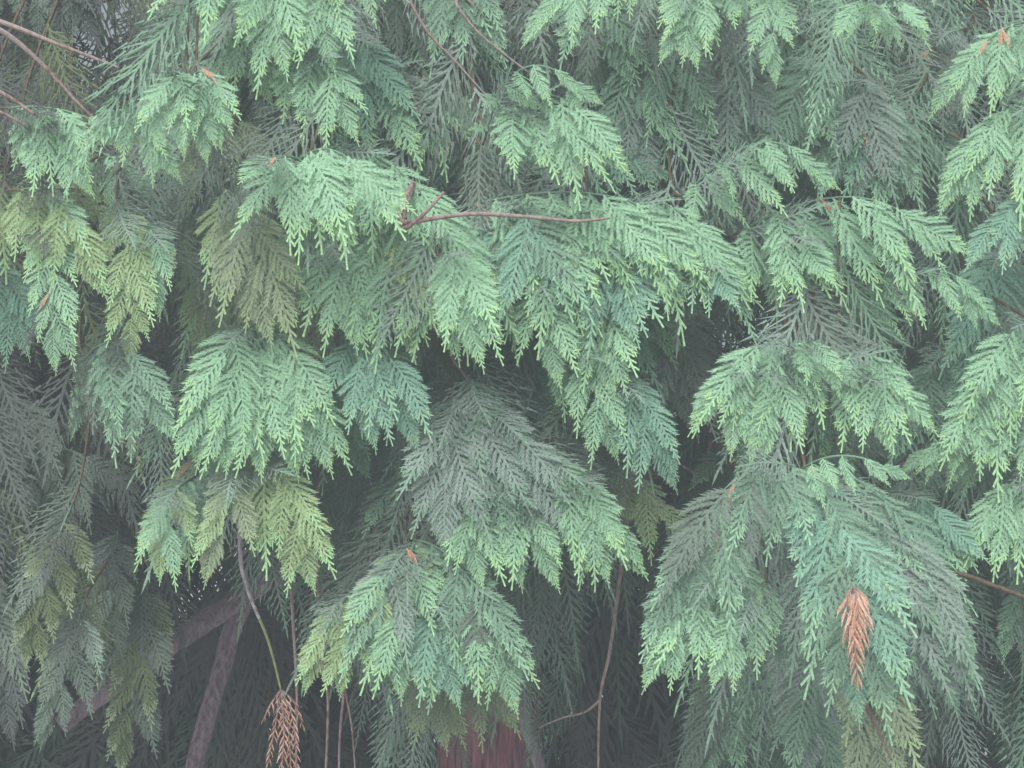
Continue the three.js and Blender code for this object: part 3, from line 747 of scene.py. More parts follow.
# The fans nearest the view are laid one by one along their shoots: each shoot leaves the nearest bough,
# arches over and droops. A row gives three pixels of the frame, where its shoot starts, its crest and
# the tip of its last spray, then how far forward it hangs, the length of its sprays and their shade.
# The rows in the inner shade and in the dark olive one are painted shade, for fans that hang where the crown
# is in shade.
NEAREST = -1.42
NEAR = -1.34
FRONT = -1.24
MIDDLE = -1.12
BACK = -0.98
FANS = {
    "top left sprig": ((232, -40), (190, -48), (142, 0), FRONT, 0.075, "light"),
    "top left run": ((205, -50), (262, -25), (318, 12), MIDDLE, 0.085, "light"),
    "top left end": ((290, -50), (345, -45), (390, -2), FRONT, 0.060, "fresh"),
    "small umbrella, left": ((190, 82), (172, 80), (158, 150), NEAR, 0.050, "fresh"),
    "small umbrella, right": ((190, 82), (207, 80), (217, 155), NEAR, 0.050, "fresh"),
    "left ledge": ((8, 108), (70, 112), (128, 140), FRONT, 0.055, "fresh"),
    "under the ledge": ((92, 150), (122, 165), (142, 192), MIDDLE, 0.055, "light"),
    "left curtain": ((-25, 180), (45, 180), (88, 225), MIDDLE, 0.085, "moss"),
    "left chain": ((42, 200), (52, 265), (54, 372), FRONT, 0.052, "fresh"),
    "second chain": ((118, 200), (130, 260), (130, 370), FRONT, 0.052, "moss"),
    "third chain": ((145, 220), (156, 250), (156, 312), FRONT, 0.050, "fresh"),
    "left blue drop": ((-30, 250), (10, 285), (14, 345), BACK, 0.070, "blue"),
    "left dark drop": ((118, 320), (95, 370), (76, 425), BACK, 0.060, "mid"),
    "left dim drop": ((-40, 380), (20, 400), (45, 500), BACK, 0.085, "deep"),
    "left far run": ((20, 470), (70, 450), (120, 500), BACK, 0.080, "deep"),
    "over the left": ((235, 90), (300, 62), (345, 95), MIDDLE, 0.075, "mid"),
    "left umbrella, left": ((300, 160), (272, 162), (261, 200), NEAR, 0.080, "light"),
    "left umbrella, right": ((300, 160), (345, 156), (398, 225), NEAR, 0.085, "light"),
    "long shelf": ((315, 150), (415, 185), (516, 345), FRONT, 0.090, "light"),
    "upper shelf": ((325, 110), (420, 78), (487, 158), MIDDLE, 0.085, "light"),
    "blue over the twig": ((425, 140), (480, 140), (512, 188), BACK, 0.065, "blue"),
    "crest sprig": ((486, 135), (530, 66), (602, 112), FRONT, 0.040, "fresh"),
    "centre fan": ((500, 122), (565, 100), (617, 190), FRONT, 0.078, "light"),
    "centre fan, behind": ((510, 130), (590, 130), (660, 185), MIDDLE, 0.080, "blue"),
    "top centre": ((645, -35), (578, -22), (534, 42), FRONT, 0.056, "light"),
    "top centre, right": ((610, -45), (642, -30), (668, 2), MIDDLE, 0.055, "light"),
    "upper dark run": ((370, -30), (450, 5), (515, 70), BACK, 0.070, "deep"),
    "upper dark run, low": ((400, 40), (450, 60), (500, 110), BACK, 0.070, "deep"),
    "behind the centre": ((590, 60), (660, 85), (705, 175), BACK, 0.085, "mid"),
    "right top, first": ((742, -18), (700, 0), (668, 58), FRONT, 0.052, "light"),
    "right top, second": ((712, -40), (748, -26), (778, 30), MIDDLE, 0.058, "light"),
    "right top, third": ((782, -40), (810, -34), (832, 4), MIDDLE, 0.050, "light"),
    "top umbrella, left": ((880, 8), (860, 2), (850, 32), NEAR, 0.046, "light"),
    "top umbrella, right": ((880, 8), (900, 2), (914, 30), NEAR, 0.046, "light"),
    "right top, fourth": ((905, -44), (935, -36), (970, 0), MIDDLE, 0.046, "light"),
    "right mass, left": ((895, 96), (810, 92), (745, 185), MIDDLE, 0.090, "mid"),
    "right mass, middle": ((895, 96), (860, 130), (830, 190), MIDDLE, 0.085, "blue"),
    "right mass, right": ((895, 96), (930, 130), (955, 205), BACK, 0.095, "mid"),
    "right mass, top": ((820, 20), (780, 40), (735, 90), BACK, 0.085, "mid"),
    "right mass, edge": ((960, 30), (930, 50), (905, 100), BACK, 0.085, "deep"),
    "right edge, first": ((1065, 18), (990, 38), (948, 108), FRONT, 0.070, "light"),
    "right edge, second": ((1065, 100), (992, 122), (954, 210), FRONT, 0.075, "light"),
    "right edge, third": ((1065, 195), (1012, 205), (987, 262), FRONT, 0.070, "blue"),
    "right small shelf": ((690, 190), (770, 142), (824, 195), FRONT, 0.055, "fresh"),
    "right shelf": ((740, 232), (862, 198), (948, 262), FRONT, 0.088, "light"),
    "right shelf, behind": ((700, 215), (790, 215), (860, 265), MIDDLE, 0.095, "mid"),
    "right umbrella": ((850, 292), (940, 270), (983, 326), FRONT, 0.052, "light"),
    "great shelf": ((440, 214), (625, 200), (728, 300), FRONT, 0.100, "light"),
    "great shelf, behind": ((500, 235), (600, 235), (690, 330), MIDDLE, 0.115, "blue"),
    "great shelf, end": ((600, 208), (680, 212), (735, 300), FRONT, 0.085, "light"),
    "drop at its end": ((690, 235), (714, 262), (720, 305), FRONT, 0.078, "blue"),
    "right drops, left": ((742, 232), (764, 250), (770, 292), MIDDLE, 0.078, "blue"),
    "right drops, right": ((776, 228), (804, 242), (812, 290), FRONT, 0.076, "light"),
    "main umbrella, left": ((812, 358), (748, 352), (704, 436), NEAR, 0.070, "light"),
    "main umbrella, right": ((822, 366), (880, 362), (921, 440), NEAR, 0.066, "light"),
    "main umbrella, crest": ((788, 354), (818, 344), (852, 392), NEAR, 0.044, "fresh"),
    "over the umbrella": ((800, 305), (850, 300), (892, 345), MIDDLE, 0.060, "mid"),
    "under the umbrella": ((760, 440), (730, 450), (705, 490), BACK, 0.080, "mid"),
    "under the umbrella, right": ((800, 430), (860, 430), (905, 470), BACK, 0.080, "mid"),
    "blue drop": ((350, 345), (388, 354), (412, 465), FRONT, 0.072, "blue"),
    "inner drop": ((525, 300), (545, 335), (560, 405), MIDDLE, 0.070, "blue"),
    "middle drop": ((548, 350), (592, 372), (612, 468), FRONT, 0.056, "light"),
    "long diagonal": ((612, 365), (645, 405), (672, 492), FRONT, 0.060, "blue"),
    "left great fan, left": ((258, 325), (222, 365), (200, 478), FRONT, 0.075, "light"),
    "left great fan, middle": ((258, 325), (262, 385), (258, 466), FRONT, 0.075, "light"),
    "left great fan, right": ((258, 325), (300, 370), (324, 476), FRONT, 0.075, "light"),
    "olive curtain": ((225, 190), (252, 235), (264, 350), FRONT, 0.085, "olive"),
    "dark curtain": ((165, 190), (225, 200), (225, 330), MIDDLE, 0.090, "deep"),
    "left lower fan": ((245, 450), (190, 470), (155, 575), MIDDLE, 0.070, "moss"),
    "left lower fan, middle": ((245, 450), (228, 500), (205, 580), FRONT, 0.064, "olive"),
    "left lower fan, right": ((245, 462), (290, 490), (308, 600), FRONT, 0.064, "moss"),
    "centre spray, left": ((470, 378), (436, 410), (424, 575), MIDDLE, 0.085, "grey"),
    "centre spray, middle": ((470, 378), (484, 440), (492, 580), FRONT, 0.085, "grey"),
    "centre spray, right": ((474, 378), (548, 425), (610, 560), MIDDLE, 0.085, "grey"),
    "centre spray, tip": ((530, 440), (586, 490), (640, 575), FRONT, 0.068, "light"),
    "centre spray, foot": ((500, 480), (530, 510), (552, 590), FRONT, 0.064, "light"),
    "low centre, left": ((415, 545), (380, 585), (345, 672), FRONT, 0.064, "moss"),
    "low centre, middle": ((415, 540), (405, 600), (402, 700), FRONT, 0.070, "light"),
    "low centre, right": ((415, 540), (470, 580), (520, 690), FRONT, 0.070, "mid"),
    "low centre, between": ((420, 570), (440, 620), (455, 705), FRONT, 0.066, "blue"),
    "low centre, foot": ((425, 620), (475, 660), (505, 724), MIDDLE, 0.066, "olive"),
    "low centre, foot left": ((425, 620), (438, 680), (440, 728), MIDDLE, 0.066, "olive"),
    "right of the centre": ((590, 462), (645, 485), (684, 552), MIDDLE, 0.058, "olive"),
    "small low fan": ((356, 590), (330, 622), (308, 690), FRONT, 0.052, "moss"),
    "low right, left arm": ((800, 470), (722, 500), (644, 684), NEAREST, 0.078, "mid"),
    "low right, left inner": ((800, 470), (752, 540), (724, 665), NEAR, 0.080, "grey"),
    "low right, middle": ((800, 470), (792, 560), (778, 655), FRONT, 0.070, "mid"),
    "low right, centre": ((800, 470), (850, 560), (850, 735), NEAREST, 0.080, "blue"),
    "low right, right": ((800, 470), (905, 530), (950, 740), NEAR, 0.090, "grey"),
    "low right, crest": ((800, 470), (850, 456), (905, 480), NEAREST, 0.032, "fresh"),
    "low right, shoulder": ((880, 492), (932, 505), (958, 560), FRONT, 0.074, "blue"),
    "low right, foot": ((800, 600), (810, 690), (800, 760), MIDDLE, 0.090, "grey"),
    "low right, back foot": ((740, 640), (720, 700), (715, 770), BACK, 0.090, "mid"),
    "right curtain": ((1050, 315), (985, 345), (962, 430), MIDDLE, 0.085, "blue"),
    "right yellow sprig": ((1055, 425), (1015, 432), (988, 464), FRONT, 0.040, "fresh"),
    "right low drops": ((1065, 478), (1002, 492), (980, 572), FRONT, 0.078, "light"),
    "right low end": ((1055, 560), (1024, 590), (1012, 650), MIDDLE, 0.062, "mid"),
    "left low chain": ((72, 505), (46, 575), (26, 665), MIDDLE, 0.054, "dusk"),
    "left low chain, second": ((85, 600), (62, 670), (42, 740), MIDDLE, 0.050, "deep"),
    "left low chain, third": ((118, 530), (112, 590), (100, 690), BACK, 0.060, "deep"),
    "left low chain, fourth": ((148, 570), (138, 670), (120, 765), BACK, 0.064, "dusk"),
    "far left foot": ((-30, 560), (0, 640), (5, 730), BACK, 0.085, "inner"),
    "top left, dim": ((-40, -40), (20, -30), (72, 60), BACK, 0.060, "deep"),
    "small umbrella, middle": ((190, 82), (186, 86), (184, 162), NEAR, 0.050, "fresh"),
    "small umbrella, between": ((188, 84), (200, 92), (204, 166), NEAR, 0.046, "fresh"),
    "under the small umbrella": ((118, 118), (140, 112), (178, 190), FRONT, 0.062, "light"),
    "beside the small umbrella": ((205, 130), (240, 120), (262, 190), MIDDLE, 0.075, "olive"),
    "top run, low": ((215, -30), (245, 20), (262, 95), MIDDLE, 0.080, "light"),
    "top run, middle": ((262, -40), (275, -10), (282, 78), FRONT, 0.075, "light"),
    "top run, right": ((310, -30), (322, 0), (330, 66), FRONT, 0.062, "light"),
    "over the left, low": ((290, 60), (330, 70), (345, 142), FRONT, 0.062, "light"),
    "over the left, right": ((330, 30), (372, 55), (395, 130), MIDDLE, 0.085, "blue"),
    "over the left, behind": ((350, 80), (400, 80), (432, 165), MIDDLE, 0.080, "mid"),
    "left umbrella, middle": ((300, 160), (315, 168), (322, 240), NEAR, 0.074, "light"),
    "long shelf, drop": ((372, 230), (392, 250), (412, 378), FRONT, 0.085, "moss"),
    "long shelf, second drop": ((415, 250), (440, 262), (452, 378), FRONT, 0.080, "light"),
    "long shelf, third drop": ((440, 255), (462, 275), (478, 378), NEAR, 0.070, "fresh"),
    "shelf drop, first": ((505, 222), (532, 224), (548, 352), FRONT, 0.090, "blue"),
    "shelf drop, second": ((556, 222), (580, 224), (586, 298), FRONT, 0.066, "light"),
    "shelf drop, third": ((590, 235), (612, 262), (628, 345), FRONT, 0.085, "blue"),
    "shelf drop, fourth": ((610, 270), (640, 300), (656, 385), MIDDLE, 0.070, "light"),
    "under the shelf": ((470, 240), (500, 250), (515, 330), BACK, 0.090, "deep"),
    "lower drop": ((520, 320), (555, 340), (578, 452), MIDDLE, 0.070, "light"),
    "lower drop, left": ((505, 330), (528, 350), (540, 440), MIDDLE, 0.070, "blue"),
    "behind the dark": ((650, 280), (675, 310), (690, 440), BACK, 0.090, "deep"),
    "beside the dark": ((640, 300), (672, 330), (694, 455), MIDDLE, 0.080, "deep"),
    "centre spray, inner left": ((468, 395), (448, 450), (452, 560), FRONT, 0.080, "grey"),
    "centre spray, inner right": ((478, 395), (520, 450), (548, 560), FRONT, 0.080, "grey"),
    "centre spray, first tip": ((455, 480), (470, 510), (478, 588), FRONT, 0.062, "light"),
    "centre spray, second tip": ((495, 470), (510, 505), (518, 590), FRONT, 0.062, "light"),
    "centre spray, last tip": ((560, 470), (592, 500), (600, 585), FRONT, 0.062, "light"),
    "left of the centre": ((425, 450), (400, 480), (392, 560), MIDDLE, 0.075, "mid"),
    "over the left limb": ((90, 352), (132, 356), (165, 450), FRONT, 0.080, "mid"),
    "left great fan, between": ((258, 325), (240, 380), (228, 470), FRONT, 0.070, "light"),
    "left great fan, fifth": ((258, 325), (282, 380), (292, 474), FRONT, 0.070, "light"),
    "left great fan, foot": ((262, 420), (275, 450), (290, 520), MIDDLE, 0.070, "olive"),
    "left lower fan, end": ((190, 480), (168, 510), (164, 580), FRONT, 0.052, "moss"),
    "small low fan, right": ((356, 590), (352, 620), (338, 700), FRONT, 0.052, "moss"),
    "low centre, second": ((415, 545), (385, 590), (374, 690), FRONT, 0.064, "grey"),
    "low centre, end": ((425, 560), (488, 610), (508, 715), FRONT, 0.064, "light"),
    "low right, left third": ((790, 480), (715, 540), (690, 668), NEAR, 0.074, "mid"),
    "low right, between": ((800, 480), (776, 560), (758, 672), NEAR, 0.074, "grey"),
    "low right, left of the dead spray": ((800, 470), (815, 560), (820, 700), NEAR, 0.078, "grey"),
    "low right, right of the dead spray": ((810, 470), (880, 550), (905, 720), NEAR, 0.085, "grey"),
    "main umbrella, inner": ((790, 362), (776, 385), (768, 458), NEAR, 0.062, "light"),
    "main umbrella, inner right": ((815, 366), (812, 395), (812, 462), FRONT, 0.062, "light"),
    "main umbrella, third": ((770, 358), (745, 380), (738, 452), NEAR, 0.060, "light"),
    "main umbrella, fourth": ((850, 370), (872, 385), (884, 452), NEAR, 0.056, "light"),
    "right top, between": ((700, -30), (690, 0), (700, 60), FRONT, 0.055, "light"),
    "right mass, first drop": ((820, 60), (800, 90), (790, 190), MIDDLE, 0.090, "mid"),
    "right mass, second drop": ((870, 80), (862, 110), (862, 215), MIDDLE, 0.090, "grey"),
    "right drape": ((1010, 250), (985, 290), (972, 420), MIDDLE, 0.095, "blue"),
    "right drape, low": ((985, 330), (960, 380), (950, 470), BACK, 0.090, "mid"),
    "top centre, behind": ((560, -30), (600, 0), (622, 90), MIDDLE, 0.085, "mid"),
    "top middle, behind": ((430, -40), (470, -20), (492, 70), MIDDLE, 0.080, "mid"),
    "left ledge, low": ((30, 120), (60, 135), (82, 190), FRONT, 0.058, "light"),
    "left curtain, low": ((20, 190), (66, 210), (96, 300), FRONT, 0.072, "moss"),
    "olive curtain, left": ((215, 220), (224, 270), (230, 390), MIDDLE, 0.085, "olive"),
    "olive curtain, right": ((300, 220), (306, 265), (322, 392), MIDDLE, 0.085, "olive"),
    "behind the centre, second": ((640, 10), (672, 50), (700, 180), MIDDLE, 0.085, "mid"),
    "behind the centre, third": ((600, 40), (632, 80), (650, 195), MIDDLE, 0.085, "grey"),
    "behind the centre, last": ((705, 50), (742, 85), (765, 200), MIDDLE, 0.085, "grey"),
    "right top, low": ((762, -20), (772, 10), (774, 84), FRONT, 0.044, "light"),
    "right middle": ((1045, 330), (1000, 350), (985, 458), FRONT, 0.085, "light"),
    "right middle, left": ((960, 350), (925, 380), (905, 482), MIDDLE, 0.085, "blue"),
    "right middle, low": ((965, 400), (940, 430), (928, 525), MIDDLE, 0.080, "mid"),
    "right yellow sprig, left": ((990, 450), (950, 440), (912, 470), FRONT, 0.040, "fresh"),
    "shelf drop, fifth": ((530, 228), (556, 240), (566, 362), FRONT, 0.080, "light"),
    "shelf drop, sixth": ((575, 230), (600, 250), (606, 378), MIDDLE, 0.080, "mid"),
    "left great fan, behind": ((258, 330), (330, 380), (352, 470), MIDDLE, 0.080, "mid"),
    "low right, outer foot": ((850, 600), (872, 690), (882, 785), NEAR, 0.075, "olive"),
    "olive curtain, foot": ((330, 300), (345, 345), (356, 420), MIDDLE, 0.080, "mid"),
    "under the shelf, second": ((540, 250), (568, 270), (590, 350), BACK, 0.090, "deep"),
    "under the shelf, third": ((600, 300), (640, 330), (664, 430), BACK, 0.090, "mid"),
    "left umbrella, foot": ((330, 235), (345, 270), (350, 345), FRONT, 0.072, "light"),
    "shelf drop, low": ((530, 260), (546, 300), (556, 388), FRONT, 0.070, "light"),
    "shelf drop, low right": ((590, 290), (600, 320), (612, 398), FRONT, 0.066, "light"),
    "right middle, front": ((1000, 380), (975, 400), (960, 472), FRONT, 0.072, "light"),
    "blue drop, left": ((350, 345), (364, 362), (372, 460), FRONT, 0.066, "blue"),
    "low right, end of the arm": ((742, 555), (692, 598), (648, 688), NEAREST, 0.060, "light"),
    "low right, second end": ((765, 580), (738, 618), (722, 672), NEAREST, 0.058, "light"),
    "above the centre": ((440, 295), (468, 318), (486, 410), MIDDLE, 0.082, "dusk"),
    "above the centre, right": ((490, 300), (512, 322), (528, 415), BACK, 0.085, "grey"),
    "top left, far": ((30, -55), (70, -35), (90, 55), BACK, 0.080, "inner"),
}
SHOOT_STEPS = 14
START_BEHIND = 0.05
CREST_AHEAD = 0.01
LEAST_SHOOT = 0.4
END_SPRAY_SHARE = 0.8
SHOOT_RADII = (0.0013, 0.0008)
SHOOT_SIDES = 5
FAN_TURN = 0.25
FAN_TILT = 0.3
FAN_LEAFY_FROM = 0.06
CARRIER_RADIUS = 0.0017
CARRIER_SIDES = 6
CARRIER_STEPS = 8
CARRIER_FACE = Vector((0, -1, 0.5)).normalized()
CARRIER_LEAFY_FROM = 0.3
CARRIER_BEND = 0.35
CARRIER_SAG = 0.02
BOUGH_PLACES = [i / 20 for i in range(6, 20)]
FAN_PLACES = slice(4, 12)
LEAST_RISE = 0.04
LOW_FOOT_COST = 2.5
HIGHER_FAN = 0.06
BEHIND_FAN = 0.02
BOUGHS_NEAR = sum(BOUGHS_IN_TIER[: TIERS_WITH_LIMBS + 1])


class Fan:
    """A shoot of the view's near side, with its sprays' length and shade, and the way they face."""

    def __init__(self, row):
        start, crest, tip, depth, self.length, self.shade = row
        start = seen_at(*start, depth + START_BEHIND)
        crest = seen_at(*crest, depth - CREST_AHEAD)
        tip = seen_at(*tip, depth)
        middle = crest * 2 - (start + tip) / 2
        long = (crest - start).length + (tip - crest).length
        last = max(LEAST_SHOOT, 1 - END_SPRAY_SHARE * self.length / long)
        self.points = [bent(start, middle, tip, last * i / SHOOT_STEPS) for i in range(SHOOT_STEPS + 1)]
        turned = FAN_TURN * (tip.x - start.x) / (tip - start).length
        self.face = Vector((turned, -1, FAN_TILT)).normalized()
        self.leafy_from = FAN_LEAFY_FROM


fan_rows = [Fan(row) for row in FANS.values()]


def joining(start, onward):
    """The shoot that carries a fan: from a bough, or from another fan that starts higher, to its start."""
    places = [bough.at(share) for bough in boughs[:BOUGHS_NEAR] for share in BOUGH_PLACES]
    for shoot in fan_rows:
        if shoot.points[0].z > start.z + HIGHER_FAN:
            points = shoot.points[FAN_PLACES]
            places.extend(point for point in points if point.y > start.y - BEHIND_FAN)

    def cost(place):
        away = place - start
        return away.length + abs(away.x) + LOW_FOOT_COST * max(0, LEAST_RISE - away.z)

    foot = min(places, key=cost)
    away = (start - foot).length
    middle = start - onward * (CARRIER_BEND * away) - UP * (CARRIER_SAG * away)
    return bowed(foot, middle, start, CARRIER_STEPS)


# Behind them hangs a second, dimmer layer of the same thin shoots, whose darker greens low down and at
# the left are painted shade. Another fills the crown's far side, and a denser one the far side behind
# each opening, both mostly in a dim grey of painted shade. Each has a shoot for every row and column of
# the frame. A row gives its depths, its step in pixels, how far its shoots drop, and its seed.
NEAR_LAYER = ((-0.92, -0.66), 86, (0.14, 0.24), 8800)
FAR_LAYER = ((0.20, 1.15), 80, (0.20, 0.34), 8850)
OPENING_LAYER = ((0.06, 0.95), 42, (0.24, 0.36), 8870)
LAYER_DEPTH = 0.8
LAYER_SCATTER = 0.3
LAYER_HEADING = (-0.5, 0.1)
LAYER_RUN = 0.5
LAYER_CARRY = 0.25
LAYER_STEPS = 8
LAYER_LEAFY_FROM = 0.05


def crown_radius(height):
    left = (CROWN_APEX - max(height, FIRST_TIER_HEIGHT)) / (CROWN_APEX - FIRST_TIER_HEIGHT)
    return CROWN_RADIUS * max(left, 0.001) ** CROWN_ROUNDING


def layer_of(depths, step, drops, seed):
    """The shoots of a layer inside the crown: those of its near half leave the openings clear."""
    draw = numbers_from(seed)
    grown = []
    for row in range(-1, int(PHOTO_HEIGHT / step) + 2):
        for column in range(-1, int(PHOTO_WIDTH / step) + 2):
            across = (column + 0.5 * (row % 2) + either_way(LAYER_SCATTER, draw)) * step
            down = (row + either_way(LAYER_SCATTER, draw)) * step
            start = seen_at(across, down, picked(depths, draw))
            heading = Vector((either_way(1, draw), *LAYER_HEADING)).normalized()
            drop = picked(drops, draw)
            middle = start + heading * (LAYER_RUN * drop)
            tip = middle + heading * (LAYER_CARRY * drop) - UP * drop
            if start.y < 0 and (in_opening(start) or in_opening(middle) or in_opening(tip)):
                continue
            if math.hypot(start.x, start.y) > LAYER_DEPTH * crown_radius(start.z):
                continue
            line = bowed(start, middle, tip, LAYER_STEPS)
            grown.append(Branchlet(line, CARRIER_FACE, LAYER_LEAFY_FROM))
    return grown


near_layer = layer_of(*NEAR_LAYER)
far_layer = layer_of(*FAR_LAYER)
behind_openings = [shoot for shoot in layer_of(*OPENING_LAYER) if in_opening(shoot.points[2])]
carriers = {}
fan_shoots = []
for shoot in fan_rows + near_layer + far_layer:
    radii = np.linspace(*SHOOT_RADII, len(shoot.points))
    fan_shoots.append(wood_part(shoot.points, radii, SHOOT_SIDES, 1))
    start = shoot.points[0]
    if tuple(start) not in carriers:
        line = joining(start, (shoot.points[1] - start).normalized())
        carriers[tuple(start)] = Branchlet(line, CARRIER_FACE, CARRIER_LEAFY_FROM)
        radii = np.linspace(CARRIER_RADIUS, SHOOT_RADII[0], len(line))
        fan_shoots.append(wood_part(line, radii, CARRIER_SIDES))


# Some shoots have lost their sprays and hang or stick out bare, brown and dry. The longest is old and
# pale down to a young green end. Each is carried as the fans are, or forks from the one before. A row
# gives the pixels of the frame that one passes, its depth, and its first and last radius.
BARE_TWIGS = {
    "long pale twig": (
        ((245, 440), (240, 545), (248, 590), (268, 640), (281, 690)),
        -1.11,
        (0.0030, 0.0011),
    ),
    "second hanging twig": (((286, 500), (293, 620), (297, 700), (295, 790)), -1.06, (0.0022, 0.0010)),
    "third hanging twig": (((314, 520), (322, 660), (328, 700), (325, 790)), -1.04, (0.0024, 0.0012)),
    "fourth hanging twig": (((356, 600), (341, 720), (339, 790)), -1.04, (0.0020, 0.0010)),
    "its fork": (((345, 690), (352, 730), (357, 800)), -1.04, (0.0013, 0.0007)),
    "hanging twig, right": (((622, 560), (610, 650), (600, 700), (598, 790)), -1.05, (0.0024, 0.0011)),
    "its side twig": (((600, 700), (585, 712), (562, 718), (538, 728)), -1.05, (0.0015, 0.0008)),
    "top left twig": (((-60, 10), (-5, 20), (60, 45), (120, 68)), -1.20, (0.0036, 0.0012)),
    "top left twig, low": (((-60, 5), (0, 30), (40, 62), (75, 100), (104, 128)), -1.18, (0.0036, 0.0010)),
    "left edge twig": (((-60, 70), (0, 92), (45, 122)), -1.24, (0.0030, 0.0012)),
    "left edge twig, low": (((-60, 95), (0, 112), (28, 128)), -1.24, (0.0022, 0.0010)),
    "top centre twig": (((395, -30), (425, 28), (456, 62), (492, 102)), -1.15, (0.0019, 0.0008)),
    "top centre twig, second": (((440, -30), (470, 2), (512, 44)), -1.14, (0.0020, 0.0009)),
    "top centre twig, third": (((460, 10), (482, 36), (528, 72)), -1.15, (0.0018, 0.0008)),
    "shelf stem": (((412, 222), (470, 214), (530, 217), (575, 221), (610, 218)), -1.305, (0.0023, 0.0012)),
    "broken stub": (((412, 224), (426, 212), (444, 192)), -1.306, (0.0022, 0.0014)),
    "twig in the middle": (((455, 362), (468, 380), (480, 402)), -1.18, (0.0016, 0.0008)),
    "twig under the umbrella": (((690, 470), (640, 440), (600, 425)), -0.95, (0.0018, 0.0008)),
}
BARE_STEPS = 28
BARE_SIDES = 7
YOUNG_FROM = 0.62
FOOT_SWELL = 1.2
bare_finish = bark_finish(
    "bare_twig_bark",
    furrow=(0.16, 0.095, 0.085),
    strip=(0.37, 0.27, 0.245),
    weathered=(0.42, 0.37, 0.36),
    stretch=0.6,
    fine=230,
)
pale_finish = bark_finish(
    "pale_twig_bark",
    furrow=(0.30, 0.24, 0.27),
    strip=(0.58, 0.50, 0.56),
    weathered=(0.62, 0.58, 0.64),
    stretch=0.6,
    fine=230,
)
young_finish = bark_finish(
    "young_twig_bark",
    furrow=(0.17, 0.21, 0.09),
    strip=(0.30, 0.36, 0.15),
    weathered=(0.36, 0.40, 0.20),
    stretch=0.6,
    fine=230,
)
parts = []
bare_ends = []
for name, (places, depth, radii) in BARE_TWIGS.items():
    points = [seen_at(*place, depth) for place in places]
    bare_ends.append(points[-1])
    line = [through(points, i / BARE_STEPS) for i in range(BARE_STEPS + 1)]
    corners, faces = tube(line, np.linspace(*radii, len(line)), BARE_SIDES)
    barks = np.zeros(len(faces))
    if name == "long pale twig":
        barks = np.where(np.arange(len(faces)) < YOUNG_FROM * len(faces), 1, 2)
    parts.append((corners, faces, barks))
    if not name.startswith("its "):
        line = joining(points[0], (points[1] - points[0]).normalized())
        foot_radii = np.linspace(radii[0] * FOOT_SWELL, radii[0], len(line))
        parts.append(wood_part(line, foot_radii, BARE_SIDES))
joined("bare_twigs", parts, [bare_finish, pale_finish, young_finish])


# The sprays are the leaves of the tree: flat feathers of fine shoots, wholly clad in tiny scale leaves
# pressed close in four rows. Each has one axis with fingers by turns on either hand, and the fingers
# have short blunt teeth, until near its end they are single teeth. They are limp, so they hang.
SPRAY_LENGTHS = (0.080, 0.108, 0.140)
SPRAY_KINDS = 3
SPRAY_SEED = 7000
AXIS_STEPS = 6
AXIS_WAVE = 0.025
WAVE_TURN = 4
AXIS_WIDTHS = (0.0024, 0.0020)
AXIS_SWELL = 0.6
FINGERS_TO = 0.97
FINGER_STEP = 0.0032
FINGER_SHARE = 0.33
FINGER_PLAY = (0.86, 1.12)
FIRST_FINGER = 0.45
WIDEST = 0.2
TAPER = 1.15
FINGER_ANGLES = (48, 36)
ANGLE_PLAY = 4
FINGER_TILT = 14
FINGER_CURL = (6, 16)
FINGER_WIDTHS = (0.0020, 0.0019, 0.0011)
LEAST_FINGER = 0.0070
LEAST_PLAY = (0.85, 1.1)
TOOTH_STEP = 0.0034
TOOTH_LENGTH = 0.0066
TOOTH_WIDTH = 0.0019
TOOTH_SWEEP = (25, 37)
TOOTH_PLAY = (0.85, 1.15)
BLUNT_SHARES = (0.6, 0.85)
LONE_TOOTH = 0.0100
LONE_WIDTH = 0.0022
STROKE_LENGTH = 0.55
STROKE_SWEEP = (12, 21)
STROKE_FADE = 0.6
MIDRIB = 1.1
BODY_PART = 0
TIP_PART = 1
LONE_TIPS_FROM = 0.55
TIPS_FROM = 0.86


